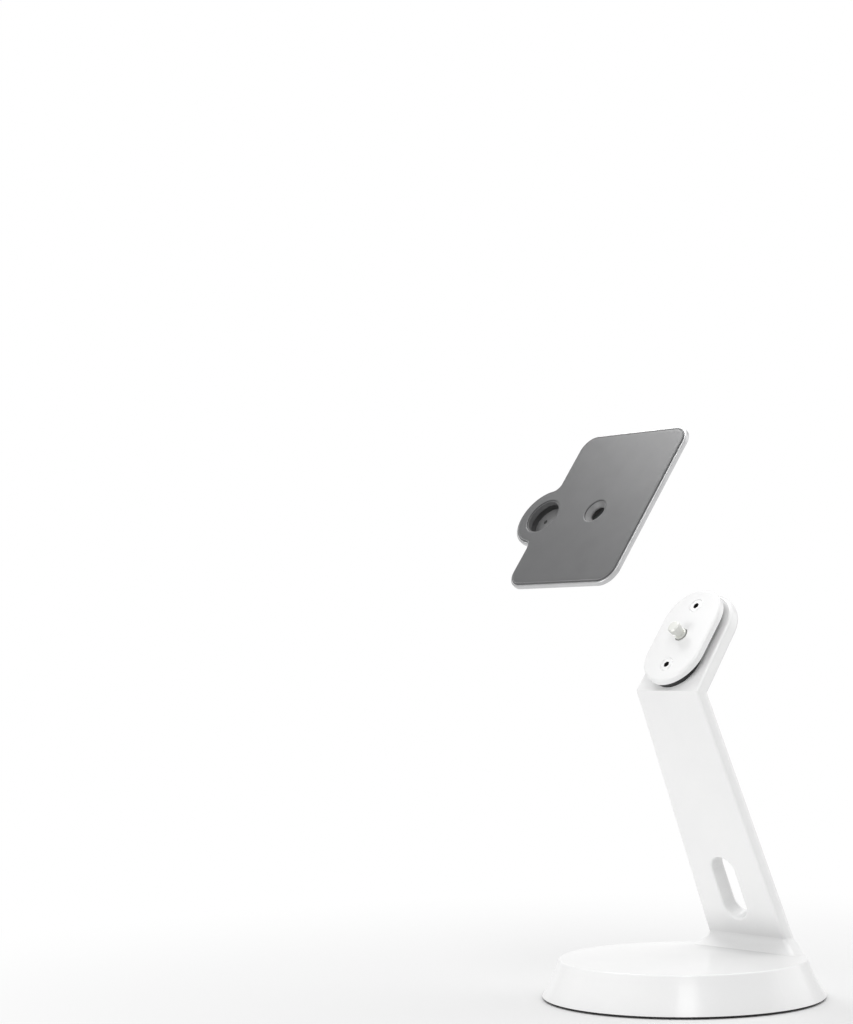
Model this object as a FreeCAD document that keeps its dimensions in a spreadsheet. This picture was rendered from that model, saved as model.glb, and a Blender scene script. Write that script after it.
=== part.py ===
import FreeCAD, Part
import os
import re
import Sketcher

# Table mount for a tablet: a weighted round base, a leaning arm with a tilted head, and a plate
# that sticks to the tablet's back, hooks on the head's stud and is locked there with a key.
# The plate stands off the stud, as it does before it is hung up.
# Lengths are in millimetres and angles in degrees. Z points up, the floor is z = 0, the base's
# centre is the origin, and the head faces towards -Y.

doc = FreeCAD.newDocument("tablet_mount")
sheet = doc.addObject("Spreadsheet::Sheet", "Sizes")

SIZES = {
    # Base
    "base_radius": 50.0,
    "base_top_radius": 43.9,
    "base_height": 13.9,
    "base_hollow": 0.45,
    "base_wall": 2.6,
    "base_top_wall": 2.4,
    "base_rim_round": 0.7,
    "foot_pad_height": 0.9,
    "foot_pad_inset": 0.6,
    "bottom_plate_thickness": 2.0,
    "bottom_plate_gap": 1.4,
    "weight_height": 7.0,
    "weight_gap": 1.3,
    "weight_notch_width": 34.0,
    "weight_notch_depth": 13.0,
    "base_screw_inset": 4.0,
    "base_screw_radius": 1.5,
    "base_screw_head_radius": 2.8,
    "base_screw_count": 4,
    "base_screw_hole_bite": 1.2,
    "base_screw_bite": 0.6,
    "base_boss_radius": 3.4,
    "screw_clearance": 0.2,
    # Arm
    "arm_lean": 23.0,
    "arm_length": 102.8,
    "arm_foot_setback": 9.2,
    "arm_thickness": 6.0,
    "arm_foot_half": 19.05,
    "arm_neck_half": 15.5,
    "front_round": 1.2,
    "rear_round": 2.9,
    "mitre_spare": 1.0,
    "slot_rise": 24.2,
    "slot_half_width": 5.5,
    "slot_half_length": 12.3,
    "slot_shift": 0.9,
    "slot_draft": 9.5,
    "slot_round": 1.0,
    "flare_height": 5.5,
    "flare_front": 5.2,
    "flare_side": 6.2,
    "flare_sink": 0.02,
    "flare_front_corner": 1.5,
    "flare_rear_corner": 3.3,
    "rim_margin": 0.5,
    "arm_screw_half_spacing": 10.0,
    "arm_screw_inset": 1.6,
    "arm_screw_radius": 2.0,
    "arm_screw_head_radius": 3.4,
    "arm_screw_head_height": 2.0,
    "arm_screw_socket_radius": 1.0,
    "arm_screw_socket_depth": 1.0,
    "arm_screw_reach": 5.6,
    # Head
    "head_tilt": 53.0,
    "head_half": 14.8,
    "head_round_centre": 28.3,
    "stud_rise": 21.0,
    "face_half_width": 13.1,
    "face_half_length": 20.4,
    "face_thickness": 2.5,
    "face_round": 1.0,
    "face_gap": 2.6,
    "face_screw_half_spacing": 13.0,
    "face_screw_radius": 1.5,
    "face_screw_head_radius": 2.7,
    "face_screw_head_drop": 0.1,
    "face_screw_socket_radius": 1.0,
    "face_screw_socket_depth": 1.1,
    "face_screw_bite": 4.8,
    "sleeve_radius": 3.2,
    "spacer_half_width": 10.1,
    "spacer_half_length": 19.6,
    "spacer_gap": 0.3,
    # Swivel stud and what holds it in the head
    "stud_radius": 2.35,
    "stud_reach": 5.2,
    "stud_neck_radius": 1.75,
    "stud_neck_low": 0.9,
    "stud_neck_high": 2.9,
    "stud_chamfer": 0.4,
    "stud_hole_gap": 0.3,
    "stud_flange_radius": 5.0,
    "stud_flange_thickness": 1.5,
    "stud_shaft_radius": 3.0,
    "running_gap": 0.05,
    "bush_radius": 4.0,
    "bush_flange_radius": 5.5,
    "bush_flange_thickness": 0.6,
    "head_recess_radius": 8.0,
    "head_recess_depth": 3.2,
    "friction_washer_thickness": 0.5,
    "friction_washer_radius": 5.1,
    "stop_washer_thickness": 0.8,
    "stop_washer_radius": 7.2,
    "spring_washer_thickness": 0.6,
    "spring_washer_radius": 4.9,
    "nut_height": 2.7,
    "nut_flats": 8.0,
    "stud_tail": 0.3,
    "stop_pin_radius": 0.8,
    "stop_pin_orbit": 6.3,
    "stop_pin_bite": 1.6,
    "stop_pin_spare": 0.1,
    "swivel_limit": 90.0,
    "stop_gap": 0.3,
    "cap_flange_radius": 9.3,
    "cap_flange_thickness": 0.9,
    "cap_height": 2.8,
    "cap_top_radius": 7.0,
    "cap_wall": 0.8,
    "cap_rim_depth": 1.0,
    # Plate with its adhesive pad
    "pull_distance": 51.1,
    "pull_lift": 10.25,
    "pad_left": 26.0,
    "pad_right": 25.7,
    "pad_low": 31.4,
    "pad_high": 35.5,
    "pad_corner": 6.0,
    "pad_thickness": 0.4,
    "pad_hole_radius": 4.6,
    "plate_margin": 0.75,
    "plate_thickness": 1.9,
    "plate_edge": 0.4,
    "guide_radius": 2.9,
    "guide_mouth_radius": 4.3,
    "guide_outer_radius": 4.9,
    "guide_straight": 0.6,
    "boss_radius": 11.5,
    "boss_fillet": 3.5,
    "lock_left": 26.8,
    "lock_low": 0.6,
    "well_radius": 6.8,
    "liner_wall": 0.8,
    "pad_well_gap": 0.4,
    # Lock housing behind the plate
    "seat_gap": 0.3,
    "housing_depth": 5.3,
    "housing_half": 9.5,
    "housing_right": 1.5,
    "housing_wall": 1.2,
    "housing_floor": 1.0,
    "housing_round": 0.6,
    "ear_left": 22.0,
    "ear_right": 12.0,
    "ear_half": 13.5,
    "ear_corner": 3.0,
    "ear_thickness": 1.2,
    "ear_screw_inset": 3.6,
    "ear_screw_rise": 11.4,
    "ear_screw_radius": 1.0,
    "ear_screw_head_radius": 1.8,
    "ear_screw_head_height": 1.1,
    "ear_screw_bite": 1.4,
    "entry_radius": 2.8,
    "entry_drop": 0.8,
    "barrel_radius": 4.0,
    "barrel_reach": 4.0,
    "barrel_wall": 2.0,
    # Lock and latch
    "latch_half": 5.2,
    "latch_gap": 0.1,
    "latch_thickness": 1.2,
    "latch_right": 8.5,
    "latch_left": 29.9,
    "latch_grip_half": 1.95,
    "grip_lead": 0.5,
    "pin_orbit": 3.5,
    "pin_radius": 0.75,
    "pin_gap": 0.2,
    "lock_turn": 90.0,
    "lock_neck_radius": 1.6,
    "neck_window_gap": 0.25,
    "cam_radius": 6.4,
    "cam_thickness": 1.0,
    "cam_gap": 0.2,
    "cam_skin": 0.4,
    "mark_radius": 0.85,
    "mark_orbit": 2.75,
    "mark_angle": 167.0,
    "keyway_width": 1.2,
    "keyway_length": 5.4,
    "keyway_depth": 3.0,
}

for row, (name, size) in enumerate(SIZES.items(), start=1):
    sheet.set(f"A{row}", name)
    sheet.set(f"B{row}", str(size))
    sheet.setAlias(f"B{row}", name)
doc.recompute()


# Sizes that follow from the driving ones, as formulas on the sheet's names.
# Heights in the base, above the floor.
bottom_top = "(foot_pad_height + bottom_plate_thickness)"
cover_ceiling = "(base_height - base_top_wall)"
weight_top = f"({bottom_top} + weight_height)"
cover_inside = "(base_radius - base_wall)"
cover_inside_top = "(base_top_radius - base_wall)"
weight_radius = f"({cover_inside_top} - weight_gap)"
screw_orbit = f"({weight_radius} - base_screw_inset)"
# The crease where the head meets the arm, and the centre of the face plate's front.
foot_y = "(base_top_radius - arm_foot_setback)"
crease_y = f"({foot_y} - arm_length * sin(arm_lean))"
crease_z = "(base_height + arm_length * cos(arm_lean))"
mitre = "(arm_thickness * tan((90 + arm_lean - head_tilt) / 2))"
standoff = "(face_gap + face_thickness)"
# Depths along the stud, counted from the face plate's front.
head_front = f"(-{standoff})"
head_rear = f"({head_front} - arm_thickness)"
recess_floor = f"({head_rear} + head_recess_depth)"
bush_top = f"({head_front} + bush_flange_thickness)"
friction_rear = f"({recess_floor} - friction_washer_thickness)"
stop_rear = f"({friction_rear} - stop_washer_thickness)"
spring_rear = f"({stop_rear} - spring_washer_thickness)"
nut_rear = f"({spring_rear} - nut_height)"
# Depths in the plate, counted from the face plate's front with the plate hung up.
housing_front = "(seat_gap + housing_depth)"
plate_front = f"({housing_front} + plate_thickness)"
cavity_floor = "(seat_gap + housing_floor)"
latch_rear = f"({cavity_floor} + latch_gap)"
latch_front = f"({latch_rear} + latch_thickness)"
cam_rear = f"({latch_front} + cam_gap)"
cam_front = f"({cam_rear} + cam_thickness)"
ear_rear = f"({housing_front} - ear_thickness)"
latch_travel = "(2 * pin_orbit * sin(lock_turn / 2))"
well_liner_radius = "(well_radius + liner_wall)"
# The drive pin, counted from the lock's axis.
pin_across = "pin_orbit * cos(90 - lock_turn / 2)"
pin_along = "pin_orbit * sin(90 - lock_turn / 2)"

# Two numbers closer than this count as equal, and BIT is a little more than that.
NEAR = 0.00001
BIT = 0.01


def formula(text):
    """The text with every size name pointing at the sheet."""
    def point(word):
        name = word.group()
        return "Sizes." + name if name in SIZES else name
    return re.sub(r"[a-z_]+", point, text)


def value(text):
    """The number that a formula gives now."""
    return float(sheet.evalExpression(formula(text)))


def new_body(label):
    """An empty body whose label names its file."""
    body = doc.addObject("PartDesign::Body", label)
    body.Label = label
    body.AllowCompound = True
    return body


def place(item, x, y, z, tilt="0"):
    """Puts an object at x, y, z and turns it about X by tilt."""
    spot = f"create(<<vector>>; {formula(x)}; {formula(y)}; {formula(z)})"
    turn = f"create(<<rotation>>; create(<<vector>>; 1; 0; 0); {formula(tilt)})"
    item.setExpression("Placement", f"create(<<placement>>; {spot}; {turn})")


def place_on_head(item, along="0", out="0", across="0"):
    """Puts an object on the stud's axis, with its z axis out of the face plate."""
    rise = f"(stud_rise + {along})"
    lift = f"({standoff} + {out})"
    y = f"{crease_y} + {rise} * cos(head_tilt) - {lift} * sin(head_tilt)"
    z = f"{crease_z} + {rise} * sin(head_tilt) + {lift} * cos(head_tilt)"
    place(item, across, y, z, "head_tilt")


def place_on_plate(item, across="0", along="0"):
    """Puts an object in the pulled-off plate's frame."""
    place_on_head(item, f"pull_lift + {along}", "pull_distance", across)


def origin_plane(body, role):
    """One of the body's own origin planes or axes."""
    return [item for item in body.Origin.OriginFeatures if item.Role == role][0]


def new_sketch(body, role="XY_Plane", height="0", shift="0"):
    """A sketch on an origin plane of the body, raised by height and shifted along its x axis."""
    sketch = body.newObject("Sketcher::SketchObject", body.Label + "_sketch")
    sketch.AttachmentSupport = [(origin_plane(body, role), "")]
    sketch.MapMode = "FlatFace"
    sketch.setExpression("AttachmentOffset.Base.z", formula(height))
    sketch.setExpression("AttachmentOffset.Base.x", formula(shift))
    return sketch


def fix_point(sketch, line, end, x, y):
    """Ties a point of the sketch to the formulas x and y."""
    for kind, axis, text in (("DistanceX", -2, x), ("DistanceY", -1, y)):
        if text == "0":
            sketch.addConstraint(Sketcher.Constraint("PointOnObject", line, end, axis))
        else:
            number = sketch.addConstraint(Sketcher.Constraint(kind, -1, 1, line, end, value(text)))
            sketch.setExpression(f"Constraints[{number}]", formula(text))


def draw_circle(sketch, x, y, radius):
    """A circle about x, y."""
    centre = FreeCAD.Vector(value(x), value(y), 0)
    up = FreeCAD.Vector(0, 0, 1)
    ring = sketch.addGeometry(Part.Circle(centre, up, value(radius)))
    fix_point(sketch, ring, 3, x, y)
    number = sketch.addConstraint(Sketcher.Constraint("Radius", ring, value(radius)))
    sketch.setExpression(f"Constraints[{number}]", formula(radius))


def draw_outline(sketch, corners, arcs=None):
    """A closed outline. arcs maps a corner's number to the centre of the arc that leaves it
    and the arc's sense: 1 turns left, -1 turns right."""
    arcs = arcs or {}
    points = [FreeCAD.Vector(value(x), value(y), 0) for x, y in corners]
    up = FreeCAD.Vector(0, 0, 1)
    ends = []
    for number, start in enumerate(points):
        finish = points[(number + 1) % len(points)]
        if number not in arcs:
            line = sketch.addGeometry(Part.LineSegment(start, finish))
            ends.append((line, 1, 2))
            continue
        x, y, sense = arcs[number]
        centre = FreeCAD.Vector(value(x), value(y), 0)
        circle = Part.Circle(centre, up, (start - centre).Length)
        first, last = (start, finish) if sense > 0 else (finish, start)
        arc = Part.ArcOfCircle(circle, circle.parameter(first), circle.parameter(last))
        line = sketch.addGeometry(arc)
        ends.append((line, 1, 2) if sense > 0 else (line, 2, 1))
        chord = finish - start
        number_x = abs(chord.y) > abs(chord.x)
        kind, axis, text = ("DistanceX", -2, x) if number_x else ("DistanceY", -1, y)
        if text == "0":
            sketch.addConstraint(Sketcher.Constraint("PointOnObject", line, 3, axis))
        else:
            rule = sketch.addConstraint(Sketcher.Constraint(kind, -1, 1, line, 3, value(text)))
            sketch.setExpression(f"Constraints[{rule}]", formula(text))
    for number, (line, start, finish) in enumerate(ends):
        following, next_start, next_finish = ends[(number + 1) % len(ends)]
        sketch.addConstraint(Sketcher.Constraint("Coincident", line, finish, following, next_start))
        fix_point(sketch, line, start, *corners[number])


def draw_slot(sketch, first, second, radius, upright=True):
    """A slot with round ends about two centres, one above the other or side by side."""
    (x1, y1), (x2, y2) = first, second
    radius = f"({radius})"
    if upright:
        corners = [(f"{x1} + {radius}", y1), (f"{x2} + {radius}", y2),
                   (f"{x2} - {radius}", y2), (f"{x1} - {radius}", y1)]
    else:
        corners = [(x1, f"{y1} - {radius}"), (x2, f"{y2} - {radius}"),
                   (x2, f"{y2} + {radius}"), (x1, f"{y1} + {radius}")]
    draw_outline(sketch, corners, {1: (x2, y2, 1), 3: (x1, y1, 1)})


def add_pad(body, sketch, length, down=False):
    """Fills a sketch upwards, or downwards."""
    pad = body.newObject("PartDesign::Pad", body.Label + "_pad")
    pad.Profile = sketch
    pad.setExpression("Length", formula(length))
    pad.Reversed = down
    sketch.Visibility = False
    doc.recompute()
    return pad


def add_pocket(body, sketch, length, up=False, draft="0"):
    """Cuts a sketch downwards, or upwards, and makes sure that it took something away. The walls
    close in by the angle draft."""
    before = body.Shape.Volume
    pocket = body.newObject("PartDesign::Pocket", body.Label + "_pocket")
    pocket.Profile = sketch
    pocket.setExpression("Length", formula(length))
    pocket.setExpression("TaperAngle", formula(draft))
    pocket.Reversed = up
    doc.recompute()
    if not body.Shape.Volume < before - NEAR:
        raise ValueError(f"{body.Label}: a pocket cuts nothing")
    return pocket


def add_turning(body, profile, role="XZ_Plane", shift="0"):
    """Turns a profile of radius and height about its own upright axis."""
    sketch = new_sketch(body, role, shift=shift)
    draw_outline(sketch, profile)
    turning = body.newObject("PartDesign::Revolution", body.Label + "_turning")
    turning.Profile = sketch
    turning.ReferenceAxis = (sketch, ["V_Axis"])
    turning.Angle = 360
    doc.recompute()
    return turning


def edge_names(feature, test):
    """Names of the feature's edges that pass a test."""
    return [f"Edge{number}" for number, edge in enumerate(feature.Shape.Edges, start=1) if test(edge)]


def add_round(body, feature, radius, test):
    """Rounds the chosen edges of the feature."""
    rounding = body.newObject("PartDesign::Fillet", body.Label + "_round")
    rounding.Base = (feature, edge_names(feature, test))
    rounding.setExpression("Radius", formula(radius))
    doc.recompute()
    return rounding


def add_chamfer(body, feature, size, test):
    """Bevels the chosen edges of the feature."""
    bevel = body.newObject("PartDesign::Chamfer", body.Label + "_bevel")
    bevel.Base = (feature, edge_names(feature, test))
    bevel.setExpression("Size", formula(size))
    doc.recompute()
    return bevel


def mirror(body, feature, role):
    """Repeats a feature across one of the body's planes."""
    copy = body.newObject("PartDesign::Mirrored", body.Label + "_mirror")
    copy.Originals = [feature]
    copy.MirrorPlane = (origin_plane(body, role), [""])
    body.Tip = copy
    doc.recompute()
    return copy


def is_level(edge, text, low=0.0):
    """True where the whole edge lies at the height that the formula gives and is longer than low."""
    height = value(text)
    corners = [abs(vertex.Z - height) < NEAR for vertex in edge.Vertexes]
    middle = abs(edge.CenterOfMass.z - height) < NEAR
    return all(corners) and middle and edge.Length > low


def is_circle(edge, radius):
    """True for a full circle of the radius that the formula gives."""
    curve = edge.Curve
    return isinstance(curve, Part.Circle) and abs(curve.Radius - value(radius)) < NEAR


def ring_profile(inner, outer, low, high):
    """Profile of a plain ring."""
    return [(inner, low), (outer, low), (outer, high), (inner, high)]


def plain_ring(label, inner, outer, low, high):
    """A ring on the stud's axis."""
    body = new_body(label)
    place_on_head(body)
    add_turning(body, ring_profile(inner, outer, low, high))
    return body


# Rubber foot pad
# A soft disc, a little smaller than the base, on which the mount stands.
def make_base_pad():
    body = new_body("base_pad")
    sketch = new_sketch(body)
    draw_circle(sketch, "0", "0", "base_radius - foot_pad_inset")
    add_pad(body, sketch, "foot_pad_height")
    return body


# Bottom plate
# A steel disc that closes the base from below. Its countersunk holes take the base screws.
def base_screw_spots():
    """Places of the base screws about the base's centre."""
    count = int(value("base_screw_count"))
    angles = [f"({360 / count} * {number} + {180 / count})" for number in range(count)]
    return [(f"{screw_orbit} * cos({angle})", f"{screw_orbit} * sin({angle})") for angle in angles]


def make_base_plate():
    body = new_body("base_plate")
    sketch = new_sketch(body, height="foot_pad_height")
    draw_circle(sketch, "0", "0", f"{cover_inside} - bottom_plate_gap")
    hole = "base_screw_radius + screw_clearance"
    for x, y in base_screw_spots():
        draw_circle(sketch, x, y, hole)
    plate = add_pad(body, sketch, "bottom_plate_thickness")
    add_chamfer(body, plate, "base_screw_head_radius - base_screw_radius",
                lambda edge: is_level(edge, "foot_pad_height") and is_circle(edge, hole))
    return body


# Weight
# A thick steel disc that keeps the mount from tipping, with a notch round the arm's screws.
def make_base_weight():
    body = new_body("base_weight")
    sketch = new_sketch(body, height=bottom_top)
    draw_circle(sketch, "0", "0", weight_radius)
    for x, y in base_screw_spots():
        draw_circle(sketch, x, y, "base_screw_radius + screw_clearance")
    add_pad(body, sketch, "weight_height")
    notch = new_sketch(body, height=weight_top)
    side = "weight_notch_width / 2"
    inner = f"{weight_radius} - weight_notch_depth"
    outer = "base_radius"
    draw_outline(notch, [(f"-{side}", inner), (side, inner), (side, outer), (f"-{side}", outer)])
    add_pocket(body, notch, "weight_height")
    return body


# Base cover
# The white shell, with a faintly hollow side and a soft rim. Bosses under its top take the screws.
def make_base_cover():
    body = new_body("base_cover")
    sketch = new_sketch(body, "XZ_Plane")
    low = "foot_pad_height"
    corners = [("0", cover_ceiling), (cover_inside_top, cover_ceiling), (cover_inside, bottom_top),
               (cover_inside, low), ("base_radius", low), ("base_top_radius", "base_height"),
               ("0", "base_height")]
    # The side sinks by base_hollow half way up; its arc's centre stands outside the base.
    run = "(base_radius - base_top_radius)"
    rise = "(base_height - foot_pad_height)"
    chord = f"sqrt({run} * {run} + {rise} * {rise})"
    centre_off = f"({chord} * {chord} / (8 * base_hollow) - base_hollow / 2)"
    centre_x = f"(base_radius + base_top_radius) / 2 + {centre_off} * {rise} / {chord}"
    centre_z = f"(base_height + foot_pad_height) / 2 + {centre_off} * {run} / {chord}"
    draw_outline(sketch, corners, {4: (centre_x, centre_z, -1)})
    shell = body.newObject("PartDesign::Revolution", "base_cover_turning")
    shell.Profile = sketch
    shell.ReferenceAxis = (sketch, ["V_Axis"])
    shell.Angle = 360
    doc.recompute()
    add_round(body, shell, "base_rim_round",
              lambda edge: is_circle(edge, "base_top_radius") and is_level(edge, "base_height"))
    bosses = new_sketch(body, height=cover_ceiling)
    for x, y in base_screw_spots():
        draw_circle(bosses, x, y, "base_boss_radius")
    add_pad(body, bosses, f"{cover_ceiling} - {weight_top} - screw_clearance", down=True)
    holes = new_sketch(body, height=weight_top)
    for x, y in base_screw_spots():
        draw_circle(holes, x, y, "base_screw_radius")
    add_pocket(body, holes, f"{cover_ceiling} - {weight_top} + base_screw_hole_bite", up=True)
    arm_holes = new_sketch(body, height="base_height")
    for side in ("", "-"):
        draw_circle(arm_holes, f"{side}arm_screw_half_spacing", f"{foot_y} + arm_screw_inset",
                    "arm_screw_radius + screw_clearance")
    add_pocket(body, arm_holes, "base_top_wall + screw_clearance")
    return body


# Base screws
# Countersunk screws from below, through plate and weight into the cover's bosses.
def make_base_screws():
    body = new_body("base_screws")
    cone = "(base_screw_head_radius - base_screw_radius)"
    head = "foot_pad_height + screw_clearance / 2"
    tip = f"{cover_ceiling} + base_screw_bite"
    profile = [("0", head), ("base_screw_head_radius", head), ("base_screw_radius", f"{head} + {cone}"),
               ("base_screw_radius", tip), ("0", tip)]
    turning = add_turning(body, profile, shift=screw_orbit)
    ring = body.newObject("PartDesign::PolarPattern", "base_screws_ring")
    ring.Originals = [turning]
    ring.Axis = (origin_plane(body, "Z_Axis"), [""])
    ring.Angle = 360
    ring.setExpression("Occurrences", formula("base_screw_count"))
    body.Tip = ring
    doc.recompute()
    spot = "create(<<vector>>; 0; 0; 0)"
    turn = f"create(<<rotation>>; create(<<vector>>; 0; 0; 1); {formula('180 / base_screw_count')})"
    body.setExpression("Placement", f"create(<<placement>>; {spot}; {turn})")
    return body


# Arm screws
# Two cap screws from inside the base into the arm's foot.
def make_arm_screws():
    body = new_body("arm_screws")
    place(body, "0", f"{foot_y} + arm_screw_inset", "0")
    low = f"({cover_ceiling} - arm_screw_head_height)"
    tip = "base_height + arm_screw_reach"
    socket = "arm_screw_socket_radius"
    floor = f"{low} + arm_screw_socket_depth"
    profile = [(socket, low), ("arm_screw_head_radius", low), ("arm_screw_head_radius", cover_ceiling),
               ("arm_screw_radius", cover_ceiling), ("arm_screw_radius", tip), ("0", tip),
               ("0", floor), (socket, floor)]
    screw = add_turning(body, profile, shift="arm_screw_half_spacing")
    mirror(body, screw, "YZ_Plane")
    return body


def runs_up(edge):
    """True where the edge runs along y more than across it."""
    first, last = edge.Vertexes[0], edge.Vertexes[-1]
    return abs(last.Y - first.Y) > abs(last.X - first.X)


def cut_mitre(slab, crease, sense, end):
    """Cuts a slab's end on the plane that halves the bend between arm and head."""
    sketch = new_sketch(slab, "YZ_Plane", height="2 * arm_foot_half")
    slope = "tan((90 + arm_lean - head_tilt) / 2)"
    back = "+" if sense == "-" else "-"
    corners = [(f"{crease} {back} {slope} * mitre_spare", "mitre_spare"),
               (f"{crease} {sense} {slope} * 2 * arm_thickness", "-2 * arm_thickness"),
               (f"{end} {back} arm_thickness", "-2 * arm_thickness"),
               (f"{end} {back} arm_thickness", "mitre_spare")]
    draw_outline(sketch, corners)
    add_pocket(slab, sketch, "4 * arm_foot_half")


# Arm with its head
# One casting: a tapering slab that leans forward from the base, a cable slot near its foot, a flared
# foot and a head that bends back to face the user.
def make_arm():
    # The slab, its z axis out of its front.
    slab = new_body("arm_slab")
    place(slab, "0", foot_y, "base_height", "90 + arm_lean")
    sketch = new_sketch(slab)
    below = "-arm_thickness"
    wide = "(arm_foot_half + arm_thickness * (arm_foot_half - arm_neck_half) / arm_length)"
    past = "(arm_length + mitre_spare)"
    straight = f"(arm_length - {mitre} - mitre_spare)"
    corners = [(f"-{wide}", below), (wide, below), ("arm_neck_half", straight), ("arm_neck_half", past),
               ("-arm_neck_half", past), ("-arm_neck_half", straight)]
    draw_outline(sketch, corners)
    blank = add_pad(slab, sketch, "arm_thickness", down=True)
    front = add_round(slab, blank, "front_round", lambda edge: is_level(edge, "0") and runs_up(edge))
    add_round(slab, front, "rear_round", lambda edge: is_level(edge, "-arm_thickness") and runs_up(edge))
    cut_mitre(slab, "arm_length", "-", past)
    slot = new_sketch(slab)
    draw_slot(slot, ("-slot_shift", "slot_rise - (slot_half_length - slot_half_width)"),
              ("-slot_shift", "slot_rise + (slot_half_length - slot_half_width)"), "slot_half_width")
    pierced = add_pocket(slab, slot, "arm_thickness", draft="-slot_draft")
    reach = value("slot_shift + slot_half_width") + BIT
    add_round(slab, pierced, "slot_round",
              lambda edge: (is_level(edge, "0") or is_level(edge, "-arm_thickness"))
              and all(abs(vertex.X) < reach for vertex in edge.Vertexes)
              and abs(edge.CenterOfMass.y - value("slot_rise")) < value("slot_half_length"))

    # The head, its z axis out of its front and its y axis up it.
    head = new_body("head_slab")
    place(head, "0", crease_y, crease_z, "head_tilt")
    sketch = new_sketch(head)
    straight = f"({mitre} + mitre_spare)"
    corners = [("-arm_neck_half", "-mitre_spare"), ("arm_neck_half", "-mitre_spare"),
               ("arm_neck_half", straight), ("head_half", "head_round_centre"),
               ("-head_half", "head_round_centre"), ("-arm_neck_half", straight)]
    draw_outline(sketch, corners, {3: ("0", "head_round_centre", 1)})
    blank = add_pad(head, sketch, "arm_thickness", down=True)
    front = add_round(head, blank, "front_round",
                      lambda edge: is_level(edge, "0") and edge.CenterOfMass.y > 0)
    add_round(head, front, "rear_round",
              lambda edge: is_level(edge, "-arm_thickness") and edge.CenterOfMass.y > 0)
    cut_mitre(head, "0", "+", "-mitre_spare")
    bore = new_sketch(head)
    draw_circle(bore, "0", "stud_rise", "bush_radius")
    for side in ("+", "-"):
        draw_circle(bore, "0", f"stud_rise {side} face_screw_half_spacing", "face_screw_radius")
    add_pocket(head, bore, "arm_thickness")
    recess = new_sketch(head, height="-arm_thickness")
    draw_circle(recess, "0", "stud_rise", "head_recess_radius")
    add_pocket(head, recess, "head_recess_depth", up=True)
    pin = new_sketch(head, height="-arm_thickness")
    draw_circle(pin, "0", "stud_rise + stop_pin_orbit", "stop_pin_radius")
    add_pocket(head, pin, "head_recess_depth + stop_pin_bite", up=True)

    # The flare that spreads the arm's foot over the base. It leaves the arm smoothly: its reach
    # falls with the square of the height.
    flare = new_body("foot_flare")
    place(flare, "0", "0", "base_height")
    sections = []
    for share in (0, 0.15, 0.35, 0.65, 1):
        spread = (1 - share) ** 2
        height = f"(flare_height * {share})"
        sketch = new_sketch(flare, height=height)
        lean = f"{height} * tan(arm_lean)"
        narrow = f"(arm_foot_half - {height} * (arm_foot_half - arm_neck_half) / arm_length - flare_sink)"
        side = f"{narrow} + flare_side * {spread:.4f}"
        near = f"{foot_y} - {lean} - flare_front * {spread:.4f} + flare_sink"
        far = f"{foot_y} - {lean} + arm_thickness / cos(arm_lean) - flare_sink"
        small, large = "flare_front_corner", "flare_rear_corner"
        corners = [(f"-({side}) + {small}", near), (f"{side} - {small}", near),
                   (side, f"{near} + {small}"), (side, f"{far} - {large}"),
                   (f"{side} - {large}", far), (f"-({side}) + {large}", far),
                   (f"-({side})", f"{far} - {large}"), (f"-({side})", f"{near} + {small}")]
        arcs = {
            1: (f"{side} - {small}", f"{near} + {small}", 1),
            3: (f"{side} - {large}", f"{far} - {large}", 1),
            5: (f"-({side}) + {large}", f"{far} - {large}", 1),
            7: (f"-({side}) + {small}", f"{near} + {small}", 1),
        }
        draw_outline(sketch, corners, arcs)
        sections.append(sketch)
    loft = flare.newObject("PartDesign::AdditiveLoft", "foot_flare_loft")
    loft.Profile = sections[0]
    loft.Sections = sections[1:]
    doc.recompute()

    # What is cut off: all below the base's top, and all that would hang over its rim.
    under = new_body("arm_under")
    sketch = new_sketch(under, height="base_height")
    draw_circle(sketch, "0", "0", "2 * base_radius")
    add_pad(under, sketch, "base_height", down=True)
    rim = new_body("arm_rim")
    add_turning(rim, ring_profile("base_top_radius - rim_margin", "2 * base_radius",
                                  "base_height - mitre_spare", "base_height + flare_height + mitre_spare"))
    taps = new_body("arm_taps")
    sketch = new_sketch(taps, height="base_height")
    for side in ("", "-"):
        draw_circle(sketch, f"{side}arm_screw_half_spacing", f"{foot_y} + arm_screw_inset",
                    "arm_screw_radius")
    add_pad(taps, sketch, "arm_screw_reach + screw_clearance")

    whole = doc.addObject("Part::MultiFuse", "arm_whole")
    whole.Shapes = [slab, head, flare]
    whole.Refine = True
    tools = doc.addObject("Part::MultiFuse", "arm_cuts")
    tools.Shapes = [under, rim, taps]
    arm = doc.addObject("Part::Cut", "arm")
    arm.Base = whole
    arm.Tool = tools
    arm.Label = "arm"
    doc.recompute()
    return arm


# Face plate
# A pill-shaped plate held off the head by two sleeves. The stud comes through its middle.
def make_face_plate():
    body = new_body("face_plate")
    place_on_head(body)
    sketch = new_sketch(body)
    end = "(face_half_length - face_half_width)"
    draw_slot(sketch, ("0", f"-{end}"), ("0", end), "face_half_width")
    draw_circle(sketch, "0", "0", "stud_radius + stud_hole_gap")
    hole = "face_screw_radius + screw_clearance"
    for side in ("", "-"):
        draw_circle(sketch, "0", f"{side}face_screw_half_spacing", hole)
    plate = add_pad(body, sketch, "face_thickness", down=True)
    sunk = add_chamfer(body, plate, "face_screw_head_radius - face_screw_radius",
                       lambda edge: is_level(edge, "0") and is_circle(edge, hole))
    wide = 2 * value(end) - BIT
    add_round(body, sunk, "face_round", lambda edge: is_level(edge, "0", wide)
              and max(abs(vertex.X) for vertex in edge.Vertexes) > value("face_half_width") - BIT)
    return body


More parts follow.
